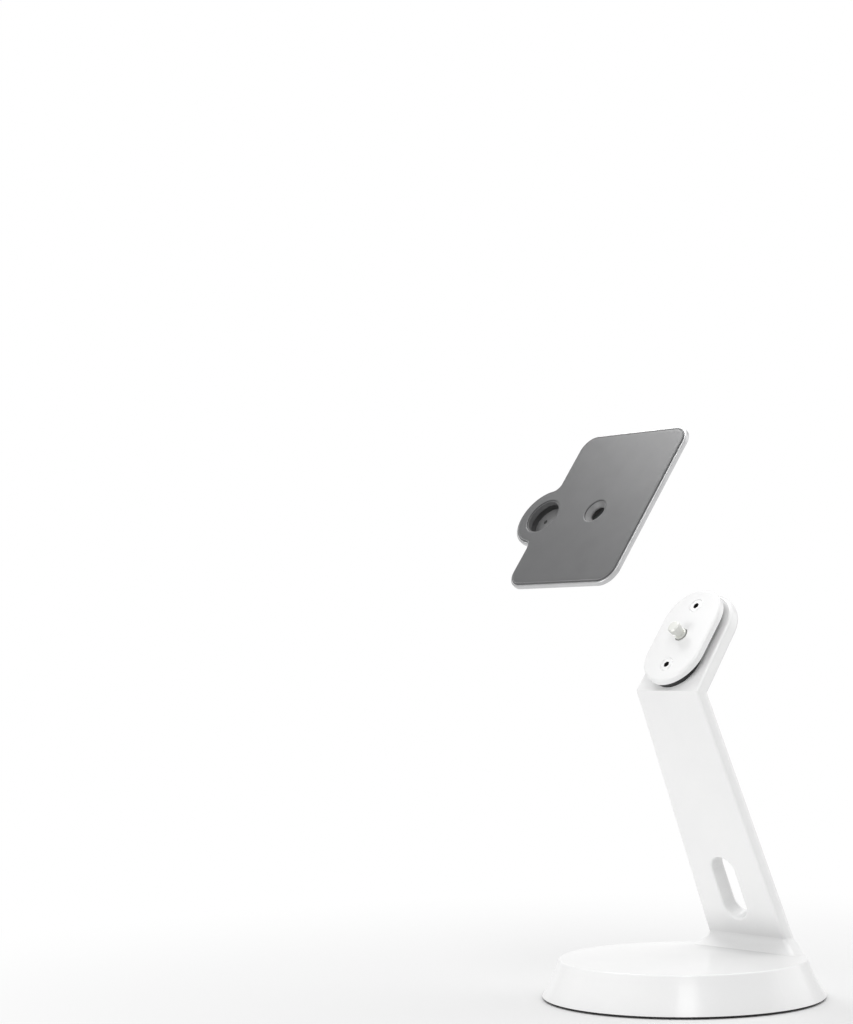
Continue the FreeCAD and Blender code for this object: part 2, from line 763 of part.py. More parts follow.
# Face plate screws
# Countersunk screws with a small socket, through the face plate and the spacers into the head.
def make_face_plate_screws():
    body = new_body("face_plate_screws")
    place_on_head(body)
    top = "-face_screw_head_drop"
    tip = f"{head_front} - face_screw_bite"
    cone = "(face_screw_head_radius - face_screw_radius)"
    floor = f"{top} - face_screw_socket_depth"
    profile = [("face_screw_socket_radius", top), ("face_screw_head_radius", top),
               ("face_screw_radius", f"{top} - {cone}"), ("face_screw_radius", tip), ("0", tip),
               ("0", floor), ("face_screw_socket_radius", floor)]
    screw = add_turning(body, profile, "YZ_Plane", "face_screw_half_spacing")
    mirror(body, screw, "XZ_Plane")
    return body


# Spacer sleeves
# Two short sleeves round the screws that hold the face plate off the head.
def make_spacer_bushes():
    body = new_body("spacer_bushes")
    place_on_head(body)
    sketch = new_sketch(body, height="-face_thickness")
    for side in ("", "-"):
        draw_circle(sketch, "0", f"{side}face_screw_half_spacing", "sleeve_radius")
        draw_circle(sketch, "0", f"{side}face_screw_half_spacing", "face_screw_radius")
    add_pad(body, sketch, "face_gap", down=True)
    return body


# Face spacer
# A dark plastic filler, smaller than the face plate, that closes the gap between it and the head.
def make_face_spacer():
    body = new_body("face_spacer")
    place_on_head(body)
    sketch = new_sketch(body, height="-face_thickness")
    end = "(spacer_half_length - spacer_half_width)"
    draw_slot(sketch, ("0", f"-{end}"), ("0", end), "spacer_half_width")
    draw_circle(sketch, "0", "0", "bush_flange_radius + spacer_gap")
    for side in ("", "-"):
        draw_circle(sketch, "0", f"{side}face_screw_half_spacing", "sleeve_radius + spacer_gap")
    add_pad(body, sketch, "face_gap", down=True)
    return body


# Stud bush
# A flanged bearing sleeve pressed into the head.
def make_stud_bush():
    body = new_body("stud_bush")
    place_on_head(body)
    bore = "stud_shaft_radius + running_gap"
    profile = [(bore, recess_floor), ("bush_radius", recess_floor), ("bush_radius", head_front),
               ("bush_flange_radius", head_front), ("bush_flange_radius", bush_top), (bore, bush_top)]
    add_turning(body, profile)
    return body


# Stop pin
# Stands in the head's rear recess and ends the swivel where the stop washer meets it.
def make_stop_pin():
    body = new_body("stop_pin")
    place_on_head(body, along="stop_pin_orbit")
    low = f"{stop_rear} - stop_pin_spare"
    high = f"{recess_floor} + stop_pin_bite"
    add_turning(body, [("0", low), ("stop_pin_radius", low), ("stop_pin_radius", high), ("0", high)])
    return body


# Rear cap
# A low dome pushed into the head's recess over the nut.
def make_rear_cap():
    body = new_body("rear_cap")
    place_on_head(body)
    top = f"({head_rear} - cap_height)"
    rim = "(head_recess_radius - cap_wall)"
    flange = f"({head_rear} - cap_flange_thickness)"
    profile = [("0", top), ("cap_top_radius", top),
               ("cap_flange_radius", flange), ("cap_flange_radius", head_rear),
               ("head_recess_radius", head_rear), ("head_recess_radius", f"{head_rear} + cap_rim_depth"),
               (rim, f"{head_rear} + cap_rim_depth"), (rim, flange),
               ("cap_top_radius - cap_wall", f"{top} + cap_wall"), ("0", f"{top} + cap_wall")]
    add_turning(body, profile)
    return body


# Locking stud
# A turned spindle: a chamfered head over a neck that the latch grips, a collar, a flange that
# runs on the bush, and a threaded tail.
def make_locking_stud():
    body = new_body("locking_stud")
    place_on_head(body)
    tail = f"({nut_rear} - stud_tail)"
    flange_top = f"({bush_top} + stud_flange_thickness)"
    profile = [("0", tail), ("stud_radius", tail), ("stud_radius", recess_floor),
               ("stud_shaft_radius", recess_floor), ("stud_shaft_radius", bush_top),
               ("stud_flange_radius", bush_top), ("stud_flange_radius", flange_top),
               ("stud_radius", flange_top), ("stud_radius", "stud_neck_low"),
               ("stud_neck_radius", "stud_neck_low"),
               ("stud_neck_radius", "stud_neck_high"), ("stud_radius", "stud_neck_high"),
               ("stud_radius", "stud_reach - stud_chamfer"), ("stud_radius - stud_chamfer", "stud_reach"),
               ("0", "stud_reach")]
    add_turning(body, profile)
    return body


# Washers
# A friction washer against the head, a stop washer keyed to the stud and a spring washer.
def make_friction_washer():
    return plain_ring("friction_washer", "stud_radius", "friction_washer_radius", friction_rear, recess_floor)


def make_spring_washer():
    return plain_ring("spring_washer", "stud_radius", "spring_washer_radius", spring_rear, stop_rear)


def make_stop_washer():
    body = new_body("stop_washer")
    place_on_head(body)
    sketch = new_sketch(body, height=stop_rear)
    notch = "(swivel_limit + 180 / pi * (stop_pin_radius + stop_gap) / stop_pin_orbit)"
    inner = "(stop_pin_orbit - stop_pin_radius - stop_gap)"
    outer = "stop_washer_radius"
    left = f"(90 + {notch})"
    right = f"(90 - {notch})"
    spots = [(outer, left), (outer, right), (inner, right), (inner, left)]
    corners = [(f"{radius} * cos({angle})", f"{radius} * sin({angle})") for radius, angle in spots]
    draw_outline(sketch, corners, {0: ("0", "0", 1), 2: ("0", "0", 1)})
    draw_circle(sketch, "0", "0", "stud_radius")
    add_pad(body, sketch, "stop_washer_thickness")
    return body


# Lock nut
# A thin hexagon nut on the stud's tail.
def make_lock_nut():
    body = new_body("lock_nut")
    place_on_head(body)
    sketch = new_sketch(body, height=nut_rear)
    corner = "(nut_flats / 2 / cos(30))"
    angles = [60 * side + 30 for side in range(6)]
    draw_outline(sketch, [(f"{corner} * cos({angle})", f"{corner} * sin({angle})") for angle in angles])
    draw_circle(sketch, "0", "0", "stud_radius")
    add_pad(body, sketch, "nut_height")
    return body


# Plate outline
# A rectangle with round corners and a round boss on its left edge that runs into it in hollow curves.
def draw_plate_outline(sketch, margin):
    left = f"(pad_left + {margin})"
    right = f"(pad_right + {margin})"
    low = f"(pad_low + {margin})"
    high = f"(pad_high + {margin})"
    corner = f"(pad_corner + {margin})"
    boss = f"(boss_radius + {margin})"
    hollow = f"(boss_fillet - {margin})"
    across = f"({left} + {hollow} - lock_left)"
    reach = f"sqrt(({boss} + {hollow}) * ({boss} + {hollow}) - {across} * {across})"
    share = f"{boss} / ({boss} + {hollow})"
    top = f"(-lock_low + {reach})"
    bottom = f"(-lock_low - {reach})"
    touch_x = f"-lock_left - {across} * {share}"
    touch_top = f"-lock_low + {reach} * {share}"
    touch_bottom = f"-lock_low - {reach} * {share}"
    corners = [(f"-{left} + {corner}", f"-{low}"), (f"{right} - {corner}", f"-{low}"),
               (right, f"-{low} + {corner}"), (right, f"{high} - {corner}"),
               (f"{right} - {corner}", high), (f"-{left} + {corner}", high),
               (f"-{left}", f"{high} - {corner}"), (f"-{left}", top), (touch_x, touch_top),
               (touch_x, touch_bottom), (f"-{left}", bottom), (f"-{left}", f"-{low} + {corner}")]
    arcs = {
        1: (f"{right} - {corner}", f"-{low} + {corner}", 1),
        3: (f"{right} - {corner}", f"{high} - {corner}", 1),
        5: (f"-{left} + {corner}", f"{high} - {corner}", 1),
        7: (f"-{left} - {hollow}", top, -1),
        8: ("-lock_left", "-lock_low", 1),
        9: (f"-{left} - {hollow}", bottom, -1),
        11: (f"-{left} + {corner}", f"-{low} + {corner}", 1),
    }
    draw_outline(sketch, corners, arcs)


# Adhesive pad
# A dark foam sheet that sticks to the tablet, with openings over the stud hole and the lock's well.
def make_adhesive_pad():
    body = new_body("adhesive_pad")
    place_on_plate(body)
    sketch = new_sketch(body, height=plate_front)
    draw_plate_outline(sketch, "0")
    draw_circle(sketch, "0", "0", "pad_hole_radius")
    draw_circle(sketch, "-lock_left", "-lock_low", "well_radius + pad_well_gap")
    add_pad(body, sketch, "pad_thickness")
    return body


# Plate
# The metal carrier plate under the foam, with softened edges and blind holes for the ear screws.
def ear_screw_spots():
    """Places of the screws in the housing's ears."""
    spots = []
    for x in ("(-ear_left + ear_screw_inset)", "(ear_right - ear_screw_inset)"):
        for side in ("", "-"):
            spots.append((x, f"{side}ear_screw_rise"))
    return spots


def make_plate_body():
    body = new_body("plate_body")
    place_on_plate(body)
    sketch = new_sketch(body, height=housing_front)
    draw_plate_outline(sketch, "plate_margin")
    draw_circle(sketch, "0", "0", "guide_outer_radius")
    draw_circle(sketch, "-lock_left", "-lock_low", well_liner_radius)
    plate = add_pad(body, sketch, "plate_thickness")

    def is_rim(edge):
        level = is_level(edge, plate_front) or is_level(edge, housing_front)
        return level and not is_circle(edge, "guide_outer_radius") and not is_circle(edge, well_liner_radius)

    add_round(body, plate, "plate_edge", is_rim)
    taps = new_sketch(body, height=housing_front)
    for x, y in ear_screw_spots():
        draw_circle(taps, x, y, "ear_screw_radius")
    add_pocket(body, taps, "ear_screw_bite", up=True)
    return body


# Guide bush
# A dark funnel pressed into the plate's hole. It leads the stud's head in.
def make_guide_bush():
    body = new_body("guide_bush")
    place_on_plate(body)
    throat = f"{housing_front} + guide_straight"
    profile = [("guide_radius", housing_front), ("guide_outer_radius", housing_front),
               ("guide_outer_radius", plate_front), ("guide_mouth_radius", plate_front),
               ("guide_radius", throat)]
    add_turning(body, profile)
    return body


# Well liner
# A dark ring pressed into the plate round the lock's well.
def make_well_liner():
    body = new_body("well_liner")
    place_on_plate(body, "-lock_left", "-lock_low")
    add_turning(body, ring_profile("well_radius", well_liner_radius, housing_front, plate_front))
    return body


# Lock housing
# A shallow tray behind the plate with two pairs of ears, an entry hole for the stud and a
# barrel boss for the key lock.
def make_lock_housing():
    body = new_body("lock_housing")
    place_on_plate(body)
    tray = new_sketch(body, height="seat_gap")
    draw_slot(tray, ("-lock_left", "0"), ("housing_right", "0"), "housing_half", upright=False)
    block = add_pad(body, tray, "housing_depth")
    add_round(body, block, "housing_round", lambda edge: is_level(edge, "seat_gap"))
    ears = new_sketch(body, height=ear_rear)
    left, right, half, corner = "-ear_left", "ear_right", "ear_half", "ear_corner"
    corners = [(f"{left} + {corner}", f"-{half}"), (f"{right} - {corner}", f"-{half}"),
               (right, f"-{half} + {corner}"), (right, f"{half} - {corner}"),
               (f"{right} - {corner}", half), (f"{left} + {corner}", half),
               (left, f"{half} - {corner}"), (left, f"-{half} + {corner}")]
    arcs = {
        1: (f"{right} - {corner}", f"-{half} + {corner}", 1),
        3: (f"{right} - {corner}", f"{half} - {corner}", 1),
        5: (f"{left} + {corner}", f"{half} - {corner}", 1),
        7: (f"{left} + {corner}", f"-{half} + {corner}", 1),
    }
    draw_outline(ears, corners, arcs)
    add_pad(body, ears, "ear_thickness")
    boss = new_sketch(body, height="seat_gap")
    draw_circle(boss, "-lock_left", "-lock_low", "barrel_radius + barrel_wall")
    add_pad(body, boss, "barrel_reach + seat_gap", down=True)
    cavity = new_sketch(body, height=housing_front)
    draw_slot(cavity, ("-lock_left", "0"), ("housing_right", "0"), "housing_half - housing_wall",
              upright=False)
    add_pocket(body, cavity, f"{housing_front} - {cavity_floor}")
    barrel = new_sketch(body, height=cavity_floor)
    draw_circle(barrel, "-lock_left", "-lock_low", "barrel_radius + running_gap")
    draw_slot(barrel, ("0", "-entry_drop"), ("0", "0"), "entry_radius")
    add_pocket(body, barrel, f"{cavity_floor} + barrel_reach")
    holes = new_sketch(body, height=housing_front)
    for x, y in ear_screw_spots():
        draw_circle(holes, x, y, "ear_screw_radius")
    add_pocket(body, holes, "ear_thickness")
    return body


# Housing screws
# Four small pan-head screws through the ears into the plate.
def make_housing_screws():
    body = new_body("housing_screws")
    place_on_plate(body, "(ear_right - ear_left) / 2")
    low = f"({ear_rear} - ear_screw_head_height)"
    profile = [("0", low), ("ear_screw_head_radius", low), ("ear_screw_head_radius", ear_rear),
               ("ear_screw_radius", ear_rear), ("ear_screw_radius", f"{housing_front} + ear_screw_bite"),
               ("0", f"{housing_front} + ear_screw_bite")]
    half = "(ear_left + ear_right) / 2 - ear_screw_inset"
    sketch = new_sketch(body, "XZ_Plane", height="-ear_screw_rise", shift=half)
    draw_outline(sketch, profile)
    turning = body.newObject("PartDesign::Revolution", "housing_screws_turning")
    turning.Profile = sketch
    turning.ReferenceAxis = (sketch, ["V_Axis"])
    turning.Angle = 360
    doc.recompute()
    pair = body.newObject("PartDesign::Mirrored", "housing_screws_pair")
    pair.MirrorPlane = (origin_plane(body, "XZ_Plane"), [""])
    row = body.newObject("PartDesign::Mirrored", "housing_screws_row")
    row.MirrorPlane = (origin_plane(body, "YZ_Plane"), [""])
    both = body.newObject("PartDesign::MultiTransform", "housing_screws_grid")
    both.Originals = [turning]
    both.Transformations = [pair, row]
    body.Tip = both
    doc.recompute()
    return body


# Lock cylinder
# A turned barrel with a keyway in its rear end and a neck that carries the cam.
def make_lock_cylinder():
    body = new_body("lock_cylinder")
    place_on_plate(body, "-lock_left", "-lock_low")
    rear = "-barrel_reach"
    shoulder = f"({cavity_floor} - latch_gap)"
    top = f"({cam_front} - cam_skin)"
    profile = [("0", rear), ("barrel_radius", rear), ("barrel_radius", shoulder),
               ("lock_neck_radius", shoulder), ("lock_neck_radius", top), ("0", top)]
    add_turning(body, profile)
    keyway = new_sketch(body, height=rear)
    side = "keyway_width / 2"
    end = "keyway_length / 2"
    draw_outline(keyway, [(f"-{side}", f"-{end}"), (side, f"-{end}"), (side, end), (f"-{side}", end)])
    add_pocket(body, keyway, "keyway_depth", up=True)
    return body


# Lock cam
# The disc at the bottom of the well, staked on the cylinder's neck, with a small hole as its mark.
def make_lock_cam():
    body = new_body("lock_cam")
    place_on_plate(body, "-lock_left", "-lock_low")
    sketch = new_sketch(body, height=cam_rear)
    draw_circle(sketch, "0", "0", "cam_radius")
    add_pad(body, sketch, "cam_thickness")
    seats = new_sketch(body, height=cam_rear)
    draw_circle(seats, "0", "0", "lock_neck_radius")
    draw_circle(seats, pin_across, pin_along, "pin_radius")
    add_pocket(body, seats, "cam_thickness - cam_skin", up=True)
    mark = new_sketch(body, height=cam_rear)
    draw_circle(mark, "mark_orbit * cos(mark_angle)", "mark_orbit * sin(mark_angle)", "mark_radius")
    add_pocket(body, mark, "cam_thickness", up=True)
    return body


# Drive pin
# Pressed into the cam, it carries the latch along as the lock turns.
def make_drive_pin():
    body = new_body("drive_pin")
    place_on_plate(body, f"-lock_left + {pin_across}", f"-lock_low + {pin_along}")
    profile = [("0", latch_rear), ("pin_radius", latch_rear), ("pin_radius", f"{cam_front} - cam_skin"),
               ("0", f"{cam_front} - cam_skin")]
    add_turning(body, profile)
    return body


# Latch plate
# Slides to the left to grip the stud's neck. Its keyhole lets the stud's head through at rest.
def make_latch_plate():
    body = new_body("latch_plate")
    place_on_plate(body)
    sketch = new_sketch(body, height=latch_rear)
    draw_slot(sketch, ("-latch_left + latch_half", "0"), ("latch_right - latch_half", "0"), "latch_half",
              upright=False)
    add_pad(body, sketch, "latch_thickness")
    entry = new_sketch(body, height=latch_front)
    draw_slot(entry, ("0", "-entry_drop"), ("0", "0"), "entry_radius")
    add_pocket(body, entry, "latch_thickness")
    grip = new_sketch(body, height=latch_front)
    draw_slot(grip, ("grip_lead", "0"), (latch_travel, "0"), "latch_grip_half", upright=False)
    add_pocket(body, grip, "latch_thickness")
    window = new_sketch(body, height=latch_front)
    draw_slot(window, ("-lock_left", "-lock_low"), (f"-lock_left + {latch_travel}", "-lock_low"),
              "lock_neck_radius + neck_window_gap", upright=False)
    add_pocket(body, window, "latch_thickness")
    yoke = new_sketch(body, height=latch_front)
    x = f"-lock_left + {pin_across}"
    low = f"-lock_low + {pin_along} - pin_gap"
    draw_slot(yoke, (x, low), (x, "-lock_low + pin_orbit + pin_gap"), "pin_radius + pin_gap")
    add_pocket(body, yoke, "latch_thickness")
    return body


parts = [
    make_base_pad(), make_base_plate(), make_base_weight(), make_base_cover(), make_base_screws(),
    make_arm_screws(), make_arm(), make_face_plate(), make_face_plate_screws(), make_spacer_bushes(),
    make_face_spacer(), make_stud_bush(), make_stop_pin(), make_rear_cap(), make_locking_stud(),
    make_friction_washer(), make_stop_washer(), make_spring_washer(), make_lock_nut(),
    make_adhesive_pad(), make_plate_body(), make_guide_bush(), make_well_liner(), make_lock_housing(),
    make_housing_screws(), make_lock_cylinder(), make_lock_cam(), make_drive_pin(), make_latch_plate(),
]
doc.recompute()

for item in doc.Objects:
    if "Invalid" in item.State or "Error" in item.State:
        raise ValueError(f"{item.Name} can't be built: {item.State}")
for part in parts:
    if part.Shape.isNull() or not part.Shape.isValid():
        raise ValueError(f"{part.Label} has no sound shape")

os.makedirs("parts", exist_ok=True)
for part in parts:
    part.Shape.exportStep(f"parts/{part.Label}.step")
    box = part.Shape.BoundBox
    print(f"{part.Label}: {len(part.Shape.Solids)} solids, {part.Shape.Volume:.1f} mm3, "
          f"x {box.XMin:.2f} {box.XMax:.2f}, y {box.YMin:.2f} {box.YMax:.2f}, "
          f"z {box.ZMin:.2f} {box.ZMax:.2f}")
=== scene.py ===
import math

import bmesh
import bpy
from mathutils import Matrix, Vector
from mathutils.geometry import delaunay_2d_cdt


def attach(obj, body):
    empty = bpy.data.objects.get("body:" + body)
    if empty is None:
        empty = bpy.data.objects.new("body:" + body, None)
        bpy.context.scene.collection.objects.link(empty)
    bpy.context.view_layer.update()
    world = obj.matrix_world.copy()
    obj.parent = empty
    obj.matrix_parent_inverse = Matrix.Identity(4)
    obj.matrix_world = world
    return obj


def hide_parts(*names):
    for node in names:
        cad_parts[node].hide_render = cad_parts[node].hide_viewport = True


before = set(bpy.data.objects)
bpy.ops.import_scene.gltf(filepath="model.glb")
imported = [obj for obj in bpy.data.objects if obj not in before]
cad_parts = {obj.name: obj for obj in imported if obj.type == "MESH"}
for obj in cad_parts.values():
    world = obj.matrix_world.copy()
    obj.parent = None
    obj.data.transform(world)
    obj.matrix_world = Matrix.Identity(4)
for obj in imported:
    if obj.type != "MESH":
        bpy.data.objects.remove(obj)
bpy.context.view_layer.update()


# Camera
# It stands in front of the mount and to its right, level with the stud, and looks slightly up with a
# long lens.
camera_place = Vector((0.59074, -0.59104, 0.12716))
camera_yaw = math.radians(51.04)
camera_pitch = math.radians(-3.22)
camera_roll = math.radians(-1.01)

camera_back = Vector((math.sin(camera_yaw) * math.cos(camera_pitch),
                      -math.cos(camera_yaw) * math.cos(camera_pitch),
                      math.sin(camera_pitch)))
level_right = Vector((math.cos(camera_yaw), math.sin(camera_yaw), 0.0))
level_up = camera_back.cross(level_right)
camera_right = math.cos(camera_roll) * level_right + math.sin(camera_roll) * level_up
camera_up = math.cos(camera_roll) * level_up - math.sin(camera_roll) * level_right

camera_lens = bpy.data.cameras.new("product_camera")
camera_lens.lens = 81.51
camera_lens.sensor_width = 36.0
camera = bpy.data.objects.new("product_camera", camera_lens)
bpy.context.scene.collection.objects.link(camera)
camera.matrix_world = Matrix.Translation(camera_place) @ Matrix(
    (camera_right, camera_up, camera_back)).transposed().to_4x4()
bpy.context.scene.camera = camera
bpy.context.scene.view_settings.view_transform = "Standard"


# Studio
# A pale floor that keeps the mount's shadow and melts into a white backdrop, lit by a pale room and wide
# soft panels: in front, behind on either side, overhead and high on the left, where the foam mirrors it. A
# tall strip over the camera draws the soft upright gloss on the base's side.
floor_half = 6.0
floor_colour = (0.75, 0.75, 0.75, 1.0)
floor_fade_start = 0.09
floor_fade_end = 0.36
room_level = 0.62
backdrop_level = 1.0


def add_node(tree, kind, settings=None, **sockets):
    """A shader or geometry node with its settings and the values of its inputs."""
    node = tree.nodes.new(kind)
    for name, value in (settings or {}).items():
        setattr(node, name, value)
    for name, value in sockets.items():
        socket = node.inputs[name.replace("_", " ")]
        socket.default_value = value
    return node


def join(tree, *pairs):
    """Links outputs to inputs, given as out, in, out, in."""
    for output, target in zip(pairs[::2], pairs[1::2]):
        tree.links.new(output, target)


def new_material(name):
    """An empty node material and its output."""
    material = bpy.data.materials.new(name)
    material.use_nodes = True
    material.node_tree.nodes.clear()
    return material, material.node_tree.nodes.new("ShaderNodeOutputMaterial")


def add_seen_mask(tree):
    """1 for rays from the camera and through clear things, 0 for the room's own light and for gloss."""
    path = tree.nodes.new("ShaderNodeLightPath")
    seen = add_node(tree, "ShaderNodeMath", {"operation": "MAXIMUM"})
    join(tree, path.outputs["Is Camera Ray"], seen.inputs[0],
         path.outputs["Is Transmission Ray"], seen.inputs[1])
    return seen.outputs[0]


world = bpy.data.worlds.new("pale_room")
world.use_nodes = True
room = world.node_tree
room.nodes.clear()
room_light = add_node(room, "ShaderNodeBackground", Strength=room_level)
room_backdrop = add_node(room, "ShaderNodeBackground", Strength=backdrop_level)
for background in (room_light, room_backdrop):
    background.inputs["Color"].default_value = (1.0, 1.0, 1.0, 1.0)
room_choice = room.nodes.new("ShaderNodeMixShader")
room_out = room.nodes.new("ShaderNodeOutputWorld")
join(room, add_seen_mask(room), room_choice.inputs[0], room_light.outputs[0], room_choice.inputs[1],
     room_backdrop.outputs[0], room_choice.inputs[2], room_choice.outputs[0], room_out.inputs[0])
bpy.context.scene.world = world

floor_material, floor_out = new_material("studio_floor")
floor_tree = floor_material.node_tree
floor_place = floor_tree.nodes.new("ShaderNodeTexCoord")
floor_distance = add_node(floor_tree, "ShaderNodeVectorMath", {"operation": "LENGTH"})
floor_fade = add_node(floor_tree, "ShaderNodeMapRange", {"interpolation_type": "SMOOTHSTEP"},
                      From_Min=floor_fade_start, From_Max=floor_fade_end)
floor_mask = add_node(floor_tree, "ShaderNodeMath", {"operation": "MULTIPLY"})
floor_paper = add_node(floor_tree, "ShaderNodeBsdfDiffuse", Color=floor_colour)
floor_white = add_node(floor_tree, "ShaderNodeEmission", Color=(1.0, 1.0, 1.0, 1.0),
                       Strength=backdrop_level)
floor_choice = floor_tree.nodes.new("ShaderNodeMixShader")
join(floor_tree, floor_place.outputs["Object"], floor_distance.inputs[0],
     floor_distance.outputs["Value"], floor_fade.inputs["Value"],
     floor_fade.outputs[0], floor_mask.inputs[0], add_seen_mask(floor_tree), floor_mask.inputs[1],
     floor_mask.outputs[0], floor_choice.inputs[0], floor_paper.outputs[0], floor_choice.inputs[1],
     floor_white.outputs[0], floor_choice.inputs[2], floor_choice.outputs[0], floor_out.inputs[0])

floor_mesh = bpy.data.meshes.new("studio_floor")
floor_corners = [(x * floor_half, y * floor_half, 0.0) for x, y in ((-1, -1), (1, -1), (1, 1), (-1, 1))]
floor_mesh.from_pydata(floor_corners, [], [(0, 1, 2, 3)])
floor_mesh.materials.append(floor_material)
floor = bpy.data.objects.new("studio_floor", floor_mesh)
bpy.context.scene.collection.objects.link(floor)


def add_panel(name, place, target, width, height, watts):
    """A soft rectangular lamp that faces a point."""
    lamp = bpy.data.lights.new(name, "AREA")
    lamp.shape = "RECTANGLE"
    lamp.size = width
    lamp.size_y = height
    lamp.energy = watts
    holder = bpy.data.objects.new(name, lamp)
    bpy.context.scene.collection.objects.link(holder)
    aim = (Vector(place) - Vector(target)).to_track_quat("Z", "Y")
    holder.matrix_world = Matrix.Translation(Vector(place)) @ aim.to_matrix().to_4x4()


add_panel("left_panel", (-0.49, -0.03, 0.865), (0.0, 0.0, 0.15), 0.3, 0.3, 1.9)
add_panel("front_panel", (-0.3, -1.6, 0.2), (0.0, 0.0, 0.08), 1.2, 0.36, 6.8)
add_panel("right_panel", (0.5, 1.1, 0.4), (0.0, 0.0, 0.08), 1.0, 1.0, 2.6)
add_panel("rear_panel", (-1.1, 0.9, 0.3), (0.0, 0.0, 0.05), 1.6, 0.8, 1.2)
add_panel("top_panel", (0.0, 0.45, 1.25), (0.0, 0.0, 0.0), 1.2, 1.2, 5.5)
add_panel("gloss_strip", (0.6, -0.52, 0.9), (0.0, 0.0, 0.02), 0.28, 0.7, 2.4)


# Foot pad
# A disc of dark rubber glued under the base, seen from the side as the thin black line on the floor.
rubber_colour = (0.018, 0.018, 0.019, 1.0)


def build_skin_group():
    """Shared surface effect: slow patches of tone and gloss with a fine grain on top of them."""
    group = bpy.data.node_groups.new("surface_skin", "ShaderNodeTree")
    for name, kind in (("Place", "NodeSocketVector"), ("Light Tone", "NodeSocketColor"),
                       ("Dark Tone", "NodeSocketColor"), ("Patch Scale", "NodeSocketFloat"),
                       ("Grain Scale", "NodeSocketFloat"), ("Gloss Low", "NodeSocketFloat"),
                       ("Gloss High", "NodeSocketFloat")):
        group.interface.new_socket(name, in_out="INPUT", socket_type=kind)
    for name, kind in (("Tone", "NodeSocketColor"), ("Roughness", "NodeSocketFloat"),
                       ("Height", "NodeSocketFloat")):
        group.interface.new_socket(name, in_out="OUTPUT", socket_type=kind)
    given = group.nodes.new("NodeGroupInput")
    result = group.nodes.new("NodeGroupOutput")
    patches = add_node(group, "ShaderNodeTexNoise", Detail=3.0, Roughness=0.55)
    grain = add_node(group, "ShaderNodeTexNoise", Detail=2.0, Roughness=0.5)
    tone = add_node(group, "ShaderNodeMix", {"data_type": "RGBA"})
    spread = add_node(group, "ShaderNodeMapRange", From_Min=0.3, From_Max=0.7)
    gloss = group.nodes.new("ShaderNodeMapRange")
    both = add_node(group, "ShaderNodeMath", {"operation": "ADD"})
    half = add_node(group, "ShaderNodeMath", {"operation": "MULTIPLY"})
    half.inputs[1].default_value = 0.5
    join(group, given.outputs["Place"], patches.inputs["Vector"],
         given.outputs["Patch Scale"], patches.inputs["Scale"],
         given.outputs["Place"], grain.inputs["Vector"], given.outputs["Grain Scale"], grain.inputs["Scale"],
         patches.outputs["Fac"], spread.inputs["Value"], spread.outputs[0], tone.inputs["Factor"],
         given.outputs["Light Tone"], tone.inputs[6], given.outputs["Dark Tone"], tone.inputs[7],
         patches.outputs["Fac"], both.inputs[0], grain.outputs["Fac"], both.inputs[1],
         both.outputs[0], half.inputs[0], half.outputs[0], gloss.inputs["Value"],
         given.outputs["Gloss Low"], gloss.inputs["To Min"],
         given.outputs["Gloss High"], gloss.inputs["To Max"],
         tone.outputs[2], result.inputs["Tone"], gloss.outputs[0], result.inputs["Roughness"],
         grain.outputs["Fac"], result.inputs["Height"])
    return group


skin_group = build_skin_group()

# Painted shade in a hollow, darkened into the paint's colour: how far it looks for nearby walls, the openness
# over which it fades, the heights in metres between which it ends, and its number of samples.
hollow_reach = 0.015
hollow_openness = (0.25, 0.95)
hollow_heights = (0.055, 0.085)
hollow_samples = 12


def finish(name, light, dark, patch_scale, grain_scale, gloss, grain_depth, metallic=0.0, coat=0.0,
           coat_roughness=0.1, hollow_shade=0.0):
    """A finish made of the shared skin: two tones, a gloss range and a grain of some depth in metres. Its
    tone can sink by the share hollow_shade in the hollows near the foot, such as a slot or a fold: painted
    shade darkened into its colour."""
    material, out = new_material(name)
    tree = material.node_tree
    place = tree.nodes.new("ShaderNodeTexCoord")
    skin = tree.nodes.new("ShaderNodeGroup")
    skin.node_tree = skin_group
    for socket, value in (("Light Tone", light), ("Dark Tone", dark), ("Patch Scale", patch_scale),
                          ("Grain Scale", grain_scale), ("Gloss Low", gloss[0]), ("Gloss High", gloss[1])):
        skin.inputs[socket].default_value = value
    bump = add_node(tree, "ShaderNodeBump", Distance=grain_depth, Strength=1.0)
    surface = add_node(tree, "ShaderNodeBsdfPrincipled", Metallic=metallic, Coat_Weight=coat,
                       Coat_Roughness=coat_roughness)
    join(tree, place.outputs["Object"], skin.inputs["Place"],
         skin.outputs["Tone"], surface.inputs["Base Color"],
         skin.outputs["Roughness"], surface.inputs["Roughness"],
         skin.outputs["Height"], bump.inputs["Height"],
         bump.outputs["Normal"], surface.inputs["Normal"], surface.outputs[0], out.inputs["Surface"])
    # Painted shade: the base colour darkens where nearby walls close a spot in, below the given heights.
    if hollow_shade:
        openness = add_node(tree, "ShaderNodeAmbientOcclusion", {"samples": hollow_samples},
                            Distance=hollow_reach)
        height = tree.nodes.new("ShaderNodeSeparateXYZ")
        near_foot = add_node(tree, "ShaderNodeMapRange", {"interpolation_type": "SMOOTHSTEP"},
                             From_Min=hollow_heights[0], From_Max=hollow_heights[1],
                             To_Min=1.0 - hollow_shade, To_Max=1.0)
        dimmer = add_node(tree, "ShaderNodeMapRange", From_Min=hollow_openness[0],
                          From_Max=hollow_openness[1], To_Max=1.0)
        dimmed = add_node(tree, "ShaderNodeVectorMath", {"operation": "SCALE"})
        join(tree, place.outputs["Object"], height.inputs[0], height.outputs["Z"], near_foot.inputs["Value"],
             near_foot.outputs[0], dimmer.inputs["To Min"], openness.outputs["AO"], dimmer.inputs["Value"],
             skin.outputs["Tone"], dimmed.inputs[0], dimmer.outputs[0], dimmed.inputs["Scale"],
             dimmed.outputs[0], surface.inputs["Base Color"])
    return material


